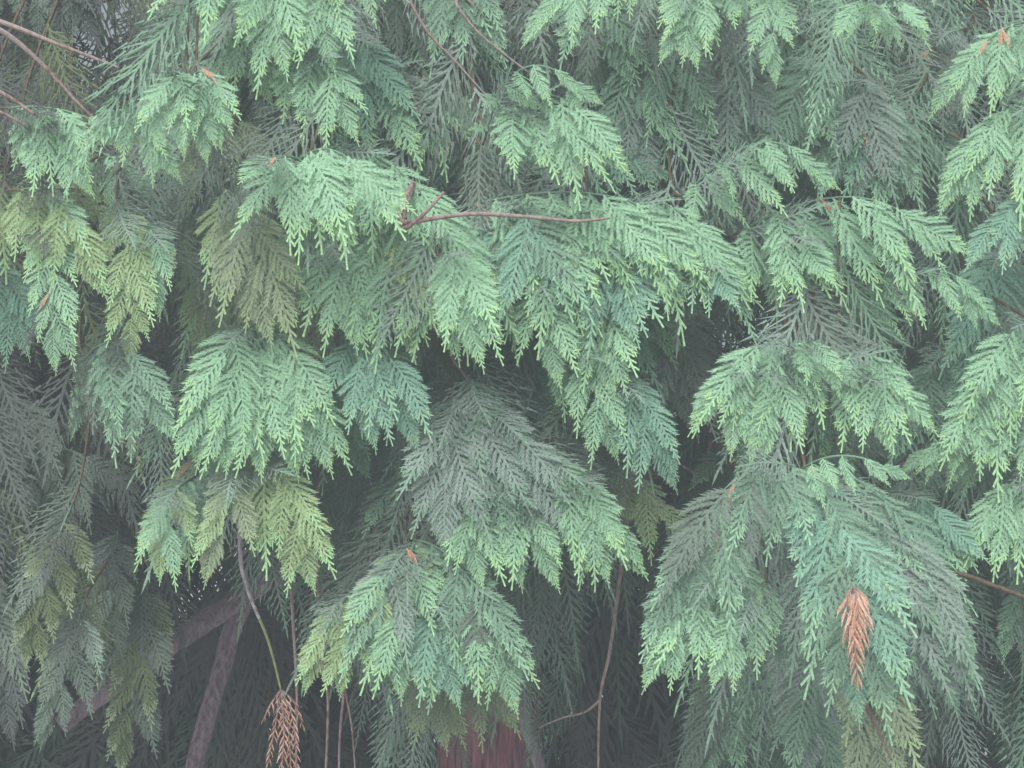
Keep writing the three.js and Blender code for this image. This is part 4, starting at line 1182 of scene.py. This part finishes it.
def spray(length, coarse, breadth, strokes, folded, seed):
    """A flat spray laid out in its own plane, +Y along its axis, as corners, triangles and part numbers.

    With no strokes it has every tooth. On the others, coarse is how much wider apart the fingers are and
    breadth how much broader, and a few long strokes stand for the teeth of a finger. A withered one is
    folded along its axis.
    """
    draw = numbers_from(seed)
    fine = strokes == 0
    corners = []
    faces = []
    parts = []

    def tooth(foot, way, long, wide, part, blunt):
        """One tooth: a blunt strap of two faces, or a single pointed face."""
        side = UP.cross(way).normalized() * (wide / 2)
        base = len(corners)
        if blunt:
            tip = foot + way * long
            low, high = (side * share for share in BLUNT_SHARES)
            corners.extend([foot - low, foot + low, tip + high, tip - high])
            faces.extend([(base, base + 1, base + 2), (base, base + 2, base + 3)])
            parts.extend([part, part])
        else:
            corners.extend([foot - side, foot + side, foot + way * long])
            faces.append((base, base + 1, base + 2))
            parts.append(part)

    def strip(points, widths, part):
        """A narrow flat run along a line."""
        base = len(corners)
        for i, (point, wide) in enumerate(zip(points, widths)):
            way = (points[min(i + 1, len(points) - 1)] - points[max(i - 1, 0)]).normalized()
            side = UP.cross(way).normalized() * (wide / 2)
            corners.extend([point + side, point - side])
        for i in range(len(points) - 1):
            a = base + 2 * i
            faces.extend([(a, a + 1, a + 3), (a, a + 3, a + 2)])
            parts.extend([part, part])

    wave = AXIS_WAVE * length * (1 if next(draw) < 0.5 else -1)
    axis = []
    for i in range(AXIS_STEPS + 1):
        axis.append(Vector((wave * math.sin(WAVE_TURN * i / AXIS_STEPS), length * i / AXIS_STEPS, 0)))
    strip(axis, np.linspace(*AXIS_WIDTHS, len(axis)) * breadth**AXIS_SWELL, BODY_PART)
    step = FINGER_STEP * coarse
    for i in range(int(FINGERS_TO * length / step)):
        along = (i + 0.6) * step
        share = along / length
        hand = 1 if i % 2 else -1
        if share < WIDEST:
            envelope = between(FIRST_FINGER, 1, share / WIDEST)
        else:
            envelope = between(1, 0.0, ((share - WIDEST) / (1 - WIDEST)) ** TAPER)
        reach = FINGER_SHARE * length * envelope * picked(FINGER_PLAY, draw)
        reach = max(reach, LEAST_FINGER * breadth * picked(LEAST_PLAY, draw))
        play = either_way(ANGLE_PLAY, draw)
        angle = math.radians(folded * (between(*FINGER_ANGLES, share) + play))
        tilt = math.radians(either_way(FINGER_TILT, draw))
        foot = Vector((wave * math.sin(WAVE_TURN * share), along, 0))
        way = Vector((hand * math.sin(angle), math.cos(angle), math.sin(tilt))).normalized()
        if reach < LONE_TOOTH * breadth:
            part = TIP_PART if share > LONE_TIPS_FROM else BODY_PART
            tooth(foot, way, reach, LONE_WIDTH * breadth, part, fine)
            continue
        curl = math.radians(hand * picked(FINGER_CURL, draw))
        later = Matrix.Rotation(curl, 3, "Z") @ way
        bend = foot + way * (0.5 * reach)
        end = bend + later * (0.5 * reach)
        if fine:
            strip([foot, bend, end], FINGER_WIDTHS, BODY_PART)
            count = int(reach / TOOTH_STEP * 2)
        else:
            tooth(foot, (end - foot).normalized(), MIDRIB * reach, TOOTH_WIDTH * breadth, BODY_PART, False)
            count = strokes
        for k in range(count):
            run = (k + 0.8) / count
            root = foot.lerp(bend, 2 * run) if run < 0.5 else bend.lerp(end, 2 * run - 1)
            heading = way if run < 0.5 else later
            sweep = TOOTH_SWEEP if fine else STROKE_SWEEP
            turn = math.radians(folded * picked(sweep, draw)) * (1 if k % 2 else -1)
            out = Matrix.Rotation(turn, 3, "Z") @ heading
            if fine:
                early = between(0.8, 1, min(1, run / 0.3))
                late = between(1, 0.8, max(0, 2 * run - 1))
                long = TOOTH_LENGTH * early * late
            else:
                long = STROKE_LENGTH * reach * between(1, STROKE_FADE, run)
            long *= picked(TOOTH_PLAY, draw)
            part = TIP_PART if share + 0.35 * run > TIPS_FROM else BODY_PART
            tooth(root, out, long, TOOTH_WIDTH * breadth, part, False)
    tooth(axis[-1], Vector((0, 1, 0)), LEAST_FINGER * breadth, LONE_WIDTH * breadth, TIP_PART, fine)
    return np.array([tuple(corner) for corner in corners]), np.array(faces), np.array(parts)


# A spray is cut at one of four levels of detail. A row gives how much longer it is than SPRAY_LENGTHS, how
# much wider apart its fingers stand, how much broader they are, their strokes, and how folded it is.
FINE, MIDDLING, COARSE, WITHERED = range(4)
DETAIL = {
    FINE: (1.0, 1.0, 1.0, 0, 1.0),
    MIDDLING: (1.35, 1.40, 1.25, 3, 1.0),
    COARSE: (2.2, 3.2, 3.8, 2, 1.0),
    WITHERED: (0.9, 1.0, 1.0, 4, 0.34),
}
sprays = {}
for level, (stretch, coarse, breadth, strokes, folded) in DETAIL.items():
    for size, length in enumerate(SPRAY_LENGTHS):
        for kind in range(SPRAY_KINDS):
            seed = SPRAY_SEED + 10 * size + kind
            sprays[level, size, kind] = spray(length * stretch, coarse, breadth, strokes, folded, seed)


SEAM_SHADE = 0.72


def leaf_finish(name, colour):
    """Waxy scale leaves: one plain green, a little darker in the seams between the scales."""
    finish = bpy.data.materials.new(name)
    finish.use_nodes = True
    nodes = finish.node_tree.nodes
    links = finish.node_tree.links
    shader = nodes["Principled BSDF"]
    shader.inputs["Roughness"].default_value = 0.6
    shader.inputs["Specular IOR Level"].default_value = 0.25
    place = nodes.new("ShaderNodeTexCoord")
    scales = node_with(nodes, "ShaderNodeTexVoronoi", {"Scale": 420})
    scales.voronoi_dimensions = "2D"
    upright = node_with(nodes, "ShaderNodeMapping", {"Rotation": (math.pi / 2, 0, 0.35)})
    links.new(place.outputs["Object"], upright.inputs["Vector"])
    links.new(upright.outputs["Vector"], scales.inputs["Vector"])
    seam = node_with(nodes, "ShaderNodeMapRange", {"From Min": 0.25, "From Max": 0.75})
    links.new(scales.outputs["Distance"], seam.inputs["Value"])
    blend = nodes.new("ShaderNodeMix")
    blend.data_type = "RGBA"
    blend.inputs["A"].default_value = (*colour, 1)
    blend.inputs["B"].default_value = (*(part * SEAM_SHADE for part in colour), 1)
    links.new(seam.outputs["Result"], blend.inputs["Factor"])
    links.new(blend.outputs["Result"], shader.inputs["Base Color"])
    relief = node_with(nodes, "ShaderNodeBump", {"Strength": 0.4, "Distance": 0.0006})
    relief.invert = True
    links.new(scales.outputs["Distance"], relief.inputs["Height"])
    links.new(relief.outputs["Normal"], shader.inputs["Normal"])
    return finish


# Each spray has a plain colour for its body and one for its tips, dealt out to it as a shade.
GREENS = {
    # Painted shade: the dark green of the sprays near the trunk, inside the crown.
    "leaf_inner": (0.088, 0.104, 0.096),
    "leaf_deep": (0.140, 0.190, 0.148),
    # Painted shade: a dark olive for sprays that hang in shade, most of them low down and at the left.
    "leaf_dusk": (0.130, 0.174, 0.084),
    "leaf_mid": (0.175, 0.300, 0.205),
    "leaf_blue": (0.195, 0.370, 0.268),
    "leaf_grey": (0.240, 0.322, 0.272),
    "leaf_light": (0.265, 0.465, 0.290),
    "leaf_olive": (0.262, 0.335, 0.205),
    "leaf_moss": (0.290, 0.410, 0.200),
    "leaf_fresh": (0.330, 0.560, 0.270),
    "leaf_dead": (0.620, 0.330, 0.220),
    "leaf_faded": (0.740, 0.480, 0.370),
    # Painted shade: a dim grey for the far side's sprays, seen through the openings.
    "leaf_far": (0.128, 0.130, 0.130),
}
leaf_finishes = [leaf_finish(name, colour) for name, colour in GREENS.items()]
PAINTED_INNER_SHADE, DEEP, PAINTED_SHADOW_GREEN, MID, BLUE, GREY, LIGHT, OLIVE, MOSS, FRESH, DEAD, FADED, PAINTED_FAR_SHADE = range(len(GREENS))
SHADES = {
    "inner": (PAINTED_INNER_SHADE, PAINTED_INNER_SHADE),
    "deep": (DEEP, DEEP),
    "mid": (MID, LIGHT),
    "blue": (BLUE, LIGHT),
    "light": (LIGHT, FRESH),
    "grey": (GREY, MID),
    "dusk": (PAINTED_SHADOW_GREEN, OLIVE),
    "olive": (OLIVE, MOSS),
    "moss": (MOSS, FRESH),
    "fresh": (LIGHT, FRESH),
    "dead": (DEAD, FADED),
    "faded": (FADED, FADED),
    "far": (PAINTED_FAR_SHADE, PAINTED_FAR_SHADE),
}
# The running share of the sprays of the crown's surface that have each shade.
SHADE_SHARES = (
    ("deep", 0.12),
    ("mid", 0.40),
    ("blue", 0.56),
    ("light", 0.84),
    ("olive", 0.92),
    ("fresh", 1.0),
)
# The shade next to each one that the fans have.
BESIDE = {
    "inner": "deep",
    "deep": "grey",
    "mid": "deep",
    "blue": "mid",
    "grey": "mid",
    "dusk": "deep",
    "light": "fresh",
    "olive": "moss",
    "moss": "light",
    "fresh": "light",
}


def dealt(shares, number):
    """The shade that falls to a spray, from the running share of each."""
    return next(shade for shade, top in shares if number <= top)


@dataclass
class Laid:
    """One spray's place: its foot, way and face, its size, hand and sag, which spray it is, and its shade."""

    foot: Vector
    way: Vector
    face: Vector
    scale: float
    hand: int
    sag: float
    key: tuple
    shade: str


CROSS_SAG = 4.0


def laid_out(laid):
    """The corners, triangles and finishes of sprays that droop from their feet under their own weight."""
    parts = []
    down = np.array([0.0, 0.0, -1.0])
    for key in sorted({one.key for one in laid}):
        corners, faces, kinds = sprays[key]
        group = [one for one in laid if one.key == key]
        foot, way, face = (
            np.array([tuple(getattr(one, field)) for one in group])[:, None]
            for field in ("foot", "way", "face")
        )
        scale, hand, sag = (
            np.array([getattr(one, field) for one in group])[:, None, None]
            for field in ("scale", "hand", "sag")
        )
        across = corners[None, :, 0:1] * hand * scale
        along = corners[None, :, 1:2] * scale
        above = corners[None, :, 2:3] * scale
        centre = foot + way * along + down * sag * along**2
        onward = way + down * 2 * sag * along
        onward /= np.linalg.norm(onward, axis=2)[..., None]
        side = np.cross(np.broadcast_to(face, onward.shape), onward)
        side /= np.linalg.norm(side, axis=2)[..., None]
        out = np.cross(onward, side)
        placed = centre + side * across + out * above + down * CROSS_SAG * across**2
        for i, one in enumerate(group):
            parts.append((placed[i], faces, np.array(SHADES[one.shade])[kinds]))
    return parts


HANG = 0.95
SAG = (1.2, 4.0)
END_SAG = 0.8
SPRAY_ANGLE = (56, 30)
SPRAY_ANGLE_PLAY = 8
SPRAY_SPREAD = (0.85, 1.15)
STEP_SPREAD = (0.8, 1.2)
FIRST_SIZE = 0.75
FULL_FROM = 0.25
FULL_TO = 0.55
LAST_SIZE = 0.7
END_SPRAY_SIZE = 0.8
SPRAY_LIFT = 0.002
FACE_SCATTER = 0.3
TURNED_FACE = 0.6
TURNED_FALL = 0.4


def scatter(most, draw):
    """A small push, any way."""
    return Vector([either_way(most, draw) for _ in range(3)])


def sprays_along(shoot, level, step, length, draw, shade_of):
    """The sprays of a shoot, by turns on either hand, and the one that ends it."""
    points = shoot.points
    lengths = [(b - a).length for a, b in zip(points, points[1:])]
    total = sum(lengths)
    stretch = DETAIL[level][0]
    hand = 1 if next(draw) < 0.5 else -1
    laid = []

    def place_at(run):
        """The point at a run along the shoot, and the way the shoot heads there."""
        for i, long in enumerate(lengths):
            if run <= long or i == len(lengths) - 1:
                here, there = points[i : i + 2]
                return here.lerp(there, min(1, run / long)), (there - here).normalized()
            run -= long

    run = shoot.leafy_from * total
    while run < total:
        share = run / total
        foot, onward = place_at(run)
        face = (shoot.face + scatter(FACE_SCATTER, draw)).normalized()
        side = face.cross(onward).normalized() * hand
        if side.z > 0:
            side = Vector((side.x, side.y, -TURNED_FALL * side.z)) + shoot.face * TURNED_FACE
            side.normalize()
        play = either_way(SPRAY_ANGLE_PLAY, draw)
        angle = math.radians(between(*SPRAY_ANGLE, share) + play)
        fall = HANG * (1 - 0.5 * abs(onward.z))
        way = (onward * math.cos(angle) + side * math.sin(angle) - UP * fall).normalized()
        early = between(FIRST_SIZE, 1, min(1, share / FULL_FROM))
        late = between(1, LAST_SIZE, max(0, (share - FULL_TO) / (1 - FULL_TO)))
        long = length * (early * late) * picked(SPRAY_SPREAD, draw)
        size = min(range(len(SPRAY_LENGTHS)), key=lambda i: abs(SPRAY_LENGTHS[i] * stretch - long))
        key = (level, size, int(SPRAY_KINDS * next(draw)))
        scale = long / (SPRAY_LENGTHS[size] * stretch)
        sag = picked(SAG, draw) / stretch
        shade = shade_of(foot, next(draw))
        laid.append(Laid(foot + face * SPRAY_LIFT, way, face, scale, hand, sag, key, shade))
        hand = -hand
        run += step * picked(STEP_SPREAD, draw)
    foot, onward = place_at(total)
    scale = END_SPRAY_SIZE * length / (SPRAY_LENGTHS[1] * stretch)
    shade = shade_of(foot, 0.5)
    laid.append(Laid(foot, onward, shoot.face, scale, 1, END_SAG, (level, 1, 0), shade))
    return laid


MOST_TRIANGLES = 190000


def joined_sprays(name, parts, *nodes):
    """Pieces of sprays, each under MOST_TRIANGLES triangles. The first stands for nodes."""
    held = 0
    packs = [[]]
    for part in parts:
        if held + len(part[1]) > MOST_TRIANGLES:
            packs.append([])
            held = 0
        packs[-1].append(part)
        held += len(part[1])
    for i, pack in enumerate(packs):
        piece = joined(f"{name}_{i + 1}", pack, leaf_finishes)
        if i == 0 and nodes:
            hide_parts(*nodes)


# The fans that face the view are sprays of life size with every tooth, laid by turns on either hand of
# the thin green shoots. Most sprays of a fan have its own shade, and the others the one next to it.
FAN_SEED = 8000
FAN_STEP = 0.0190
FAN_SWELL = 1.12
OWN_SHADE = 0.72
joined("fan_shoots", fan_shoots, [twig_finish, leaf_finishes[MID]])
laid = []
for i, shoot in enumerate(fan_rows):
    draw = numbers_from(FAN_SEED + i)

    def fan_shade(foot, number, own=shoot.shade):
        return own if number < OWN_SHADE else BESIDE[own]

    laid.extend(sprays_along(shoot, FINE, FAN_STEP, shoot.length * FAN_SWELL, draw, fan_shade))
joined_sprays("fans", laid_out(laid))
fan_sprays = laid


# A few sprays are dead: dry, curled up and orange-brown. Two hang whole, one from the long pale twig and
# one low on the right, and scraps of others are caught among the live ones. A strand's row gives its
# first, middle and last pixel, its depth, and how long its sprays are.
DEAD_STRANDS = (
    ((281, 690), (272, 702), (264, 718), -1.12, 0.009),
    ((281, 690), (276, 722), (268, 762), -1.11, 0.011),
    ((281, 690), (284, 732), (280, 790), -1.13, 0.012),
    ((282, 690), (289, 735), (291, 784), -1.12, 0.010),
    ((281, 690), (293, 718), (297, 764), -1.12, 0.011),
    ((281, 690), (294, 702), (303, 726), -1.11, 0.009),
    ((850, 578), (846, 602), (850, 646), -1.46, 0.018),
    ((853, 578), (852, 625), (857, 676), -1.475, 0.018),
    ((855, 578), (857, 604), (857, 652), -1.47, 0.018),
    ((856, 578), (861, 600), (862, 640), -1.46, 0.018),
)
DEAD_SEED = 8400
DEAD_STEP = 0.0042
DEAD_RADII = (0.0013, 0.0007)
DEAD_SIDES = 5
DEAD_LINE_STEPS = 10
DEAD_FACE = Vector((0.2, -1, 0.1)).normalized()
DEAD_LEAFY_FROM = 0.1
DEAD_SHARES = (("dead", 0.6), ("faded", 1.0))
SCRAPS = (
    (985, 42), (1005, 48), (857, 127), (843, 162), (803, 466), (757, 497), (722, 540), (712, 470), (190, 35),
    (88, 298), (145, 432), (396, 542), (268, 158), (316, 322), (468, 205), (524, 224), (822, 210), (936, 60),
)
SCRAP_SIZE = (0.018, 0.030)
SCRAP_SCATTER = 0.4
SCRAP_LIFT = 0.004


def dead_shade(foot, number):
    return dealt(DEAD_SHARES, number)


laid = []
draw = numbers_from(DEAD_SEED)
parts = []
holds = [point for shoot in fan_rows for point in shoot.points] + bare_ends
for first, middle, last, depth, long in DEAD_STRANDS:
    hold = min(holds, key=lambda point: (Vector(pixel_of(point)) - Vector(first)).length)
    places = [hold, seen_at(*middle, depth), seen_at(*last, depth)]
    line = [through(places, i / DEAD_LINE_STEPS) for i in range(DEAD_LINE_STEPS + 1)]
    strand = Branchlet(line, DEAD_FACE, DEAD_LEAFY_FROM)
    laid.extend(sprays_along(strand, WITHERED, DEAD_STEP, long, draw, dead_shade))
    parts.append(wood_part(line, np.linspace(*DEAD_RADII, len(line)), DEAD_SIDES))
joined("dead_shoots", parts, [bare_finish])
for place in SCRAPS:
    beside = min(fan_sprays, key=lambda one: (Vector(pixel_of(one.foot)) - Vector(place)).length)
    for i in range(2):
        way = (beside.way + scatter(SCRAP_SCATTER, draw)).normalized()
        scale = picked(SCRAP_SIZE, draw) / SPRAY_LENGTHS[0]
        foot = beside.foot + beside.face * SCRAP_LIFT
        laid.append(Laid(foot, way, beside.face, scale, 1, 1.0, (WITHERED, 0, i), "dead"))
joined_sprays("dead_sprays", laid_out(laid))


# The second layer and the shoots that carry the fans have plainer sprays, dim and half hidden, which keep
# out of the openings; low down and at the left their darker, more olive greens are painted shade. Those of
# the far side are larger again, mostly in a dim grey of painted shade, and show in them.
CARRIER_SEED = 8500
CARRIER_STEP = 0.072
CARRIER_SPRAY = 0.14
LAYER_SEED = 8900
LAYER_STEP = 0.041
LAYER_LENGTH = 0.155
DIM_BELOW = 1.22
DIM_LEFT = -0.37
DIM_SHARES = (("dusk", 0.3), ("inner", 0.92), ("deep", 1.0))
LAYER_SHARES = (("deep", 0.35), ("grey", 0.75), ("mid", 1.0))
FAR_SEED = 9050
FAR_STEP = 0.040
FAR_LENGTH = 0.235
FAR_SHARES = (("far", 0.65), ("deep", 1.0))
CROWN_REACH = 1.69
CLEAR_OF_OPENING = 0.08


def dim_shade(foot, number):
    """The shade of the second layer: painted shade, darker and more olive, low down and at the left."""
    dim = foot.z < DIM_BELOW or foot.x < DIM_LEFT
    return dealt(DIM_SHARES if dim else LAYER_SHARES, number)


# The far side's sprays: most in the dim grey of painted shade, the rest deep green.
def far_shade(foot, number):
    return dealt(FAR_SHARES, number)


def within_reach(point):
    """True inside the crown's reach, which all of its foliage keeps to."""
    return math.hypot(point.x, point.y) < CROWN_REACH


laid = []
for i, shoot in enumerate(carriers.values()):
    draw = numbers_from(CARRIER_SEED + i)
    if shoot.points[-1].y < 0:
        laid.extend(sprays_along(shoot, MIDDLING, CARRIER_STEP, CARRIER_SPRAY, draw, dim_shade))
for i, shoot in enumerate(near_layer):
    draw = numbers_from(LAYER_SEED + i)
    laid.extend(sprays_along(shoot, MIDDLING, LAYER_STEP, LAYER_LENGTH, draw, dim_shade))
laid = [one for one in laid if not kept_open(one.foot + one.way * CLEAR_OF_OPENING)]
joined_sprays("dim_fans", laid_out(laid))
laid = []
for i, shoot in enumerate(far_layer + behind_openings):
    draw = numbers_from(FAR_SEED + i)
    laid.extend(sprays_along(shoot, COARSE, FAR_STEP, FAR_LENGTH, draw, far_shade))
laid = [one for one in laid if within_reach(one.foot + one.way * FAR_LENGTH)]
joined_sprays("far_fans", laid_out(laid))


# The rest of the crown is clad in the same limp sprays, larger and fewer, on the twigs of every bough
# and on its limb. Near the trunk they are painted dim, as shade, and the view's own foliage takes their
# place in front.
LEVEL_STEP = {MIDDLING: 0.044, COARSE: 0.058}
LEVEL_LENGTH = {MIDDLING: 0.17, COARSE: 0.275}
CLAD_SEED = 9000
CLAD_FROM = 0.08
CLAD_STEPS = 12
CLAD_LEAN = 0.4
CLOSE_MARGIN = 0.1
CLOSE_FROM = -0.3
INNER_TO = 0.48
DEEP_TO = 0.7
DEEP_SHARES = (("deep", 0.7), ("inner", 1.0))
TESTED_SHARE = 0.6


def shade_at(foot, number):
    """The shade of a spray by its place: painted shade near the trunk, dealt out at the crown's surface."""
    share = math.hypot(foot.x, foot.y) / crown_radius(foot.z)
    if share < INNER_TO:
        return "inner"
    return dealt(DEEP_SHARES if share < DEEP_TO else SHADE_SHARES, number)


def level_at(point):
    """How fine a spray is: middling where the view is close, coarse elsewhere."""
    return MIDDLING if in_view(point, CLOSE_MARGIN) and point.y < CLOSE_FROM else COARSE


for tier, group in enumerate(tiers):
    laid = []
    for bough in group:
        draw = numbers_from(CLAD_SEED + 100 * tier + ord(bough.name[1]))
        limb_line = [bough.at(between(CLAD_FROM, 1, i / CLAD_STEPS)) for i in range(CLAD_STEPS + 1)]
        limb_shoot = Branchlet(limb_line, (UP + bough.outward * CLAD_LEAN).normalized(), 0.0)
        for shoot in branchlets[bough.name] + [limb_shoot]:
            level = level_at(shoot.points[-4])
            grown = sprays_along(shoot, level, LEVEL_STEP[level], LEVEL_LENGTH[level], draw, shade_at)
            for one in grown:
                tip = one.foot + one.way * LEVEL_LENGTH[level]
                inner = one.foot.lerp(tip, TESTED_SHARE)
                if rule_keeps(one.foot) and rule_keeps(inner) and within_reach(tip):
                    laid.append(one)
    joined_sprays(f"sprays_{tier + 1}", laid_out(laid), *[f"foliage_{bough.name}" for bough in group])


# The leading shoot is thin living wood that stands on the trunk's tip and nods to one side. Shoots with
# sprays stand all round it, each a golden angle on from the one below. They hang from its foot and rise
# near its top. The values of most pairs are for its foot and its top.
LEADER_SEED = 900
LEADER_SPRAYS_SEED = 9900
LEADER_SPRAYS = 36
LEADER_NOD = Vector((0.2, -0.08, 1.0))
LEADER_BEND = 0.7
LEADER_TIP_RADIUS = 0.0015
LEADER_SIDES = 10
LEADER_STEPS = 30
LEADER_SHARES = (0.04, 0.94)
LEADER_TWIG = (0.22, 0.02)
LEADER_TWIG_RISE = (0.08, 0.03)
LEADER_SPRAY = (0.44, 0.10)
LEADER_SPREAD = (0.55, 0.75)
LEADER_FALL = 1.2
LEADER_RISE = 1.4
RISING_FROM = 0.82
GOLDEN_ANGLE = math.pi * (3 - math.sqrt(5))
LEADER_TWIG_STEPS = 10
LEADER_LEAFY_FROM = 0.1
LEADER_STEP = 0.042
LEADER_LENGTHS = (0.21, 0.09)
TOP_STEPS = 12
TOP_FACE = Vector((0.3, -1, 0)).normalized()
TIP_CLEAR = 0.02
draw = numbers_from(LEADER_SEED)
leader_foot = trunk_at(TRUNK_TIP_HEIGHT)
leader_height = TREE_HEIGHT - leader_foot.z - TIP_CLEAR
leader_bend = leader_foot + UP * (LEADER_BEND * leader_height)
leader_end = leader_foot + LEADER_NOD * leader_height


def leader_at(share):
    return bent(leader_foot, leader_bend, leader_end, share)


def leader_radius(share):
    return between(TRUNK_TIP_RADIUS, LEADER_TIP_RADIUS, share)


limb("leader", leader_at, leader_radius, LEADER_SIDES, LEADER_STEPS, limb_finish)
leader_shoots = []
for i in range(LEADER_SPRAYS):
    share = between(*LEADER_SHARES, i / (LEADER_SPRAYS - 1))
    rising = share >= RISING_FROM
    outward = Vector((math.cos(i * GOLDEN_ANGLE), math.sin(i * GOLDEN_ANGLE), 0))
    start = leader_at(share)
    twig_end = start + outward * between(*LEADER_TWIG, share) + UP * between(*LEADER_TWIG_RISE, share)
    hang = (outward - UP * (-LEADER_RISE if rising else LEADER_FALL)).normalized()
    tip = twig_end + hang * (between(*LEADER_SPRAY, share) * picked(LEADER_SPREAD, draw))
    face = (outward + UP * (-FACE_LIFT if rising else FACE_LIFT)).normalized()
    line = bowed(start, twig_end, tip, LEADER_TWIG_STEPS)
    leader_shoots.append(Branchlet(line, face, LEADER_LEAFY_FROM, SPRAY_SIZES[1]))
joined("leader_shoots", [shoot_part(shoot) for shoot in leader_shoots], [twig_finish])
top_line = bowed(leader_foot, leader_bend, leader_end, TOP_STEPS)
top_shoot = Branchlet(top_line, TOP_FACE, LEADER_LEAFY_FROM)
laid = []
for i, shoot in enumerate([*leader_shoots, top_shoot]):
    draw = numbers_from(LEADER_SPRAYS_SEED + i)
    length = between(*LEADER_LENGTHS, i / LEADER_SPRAYS)
    laid.extend(sprays_along(shoot, COARSE, LEADER_STEP, length, draw, shade_at))
highest = TREE_HEIGHT + TIP_CLEAR
laid = [one for one in laid if (one.foot + one.way * LEADER_LENGTHS[1]).z < highest]
joined_sprays("sprays_top", laid_out(laid), "foliage_top")
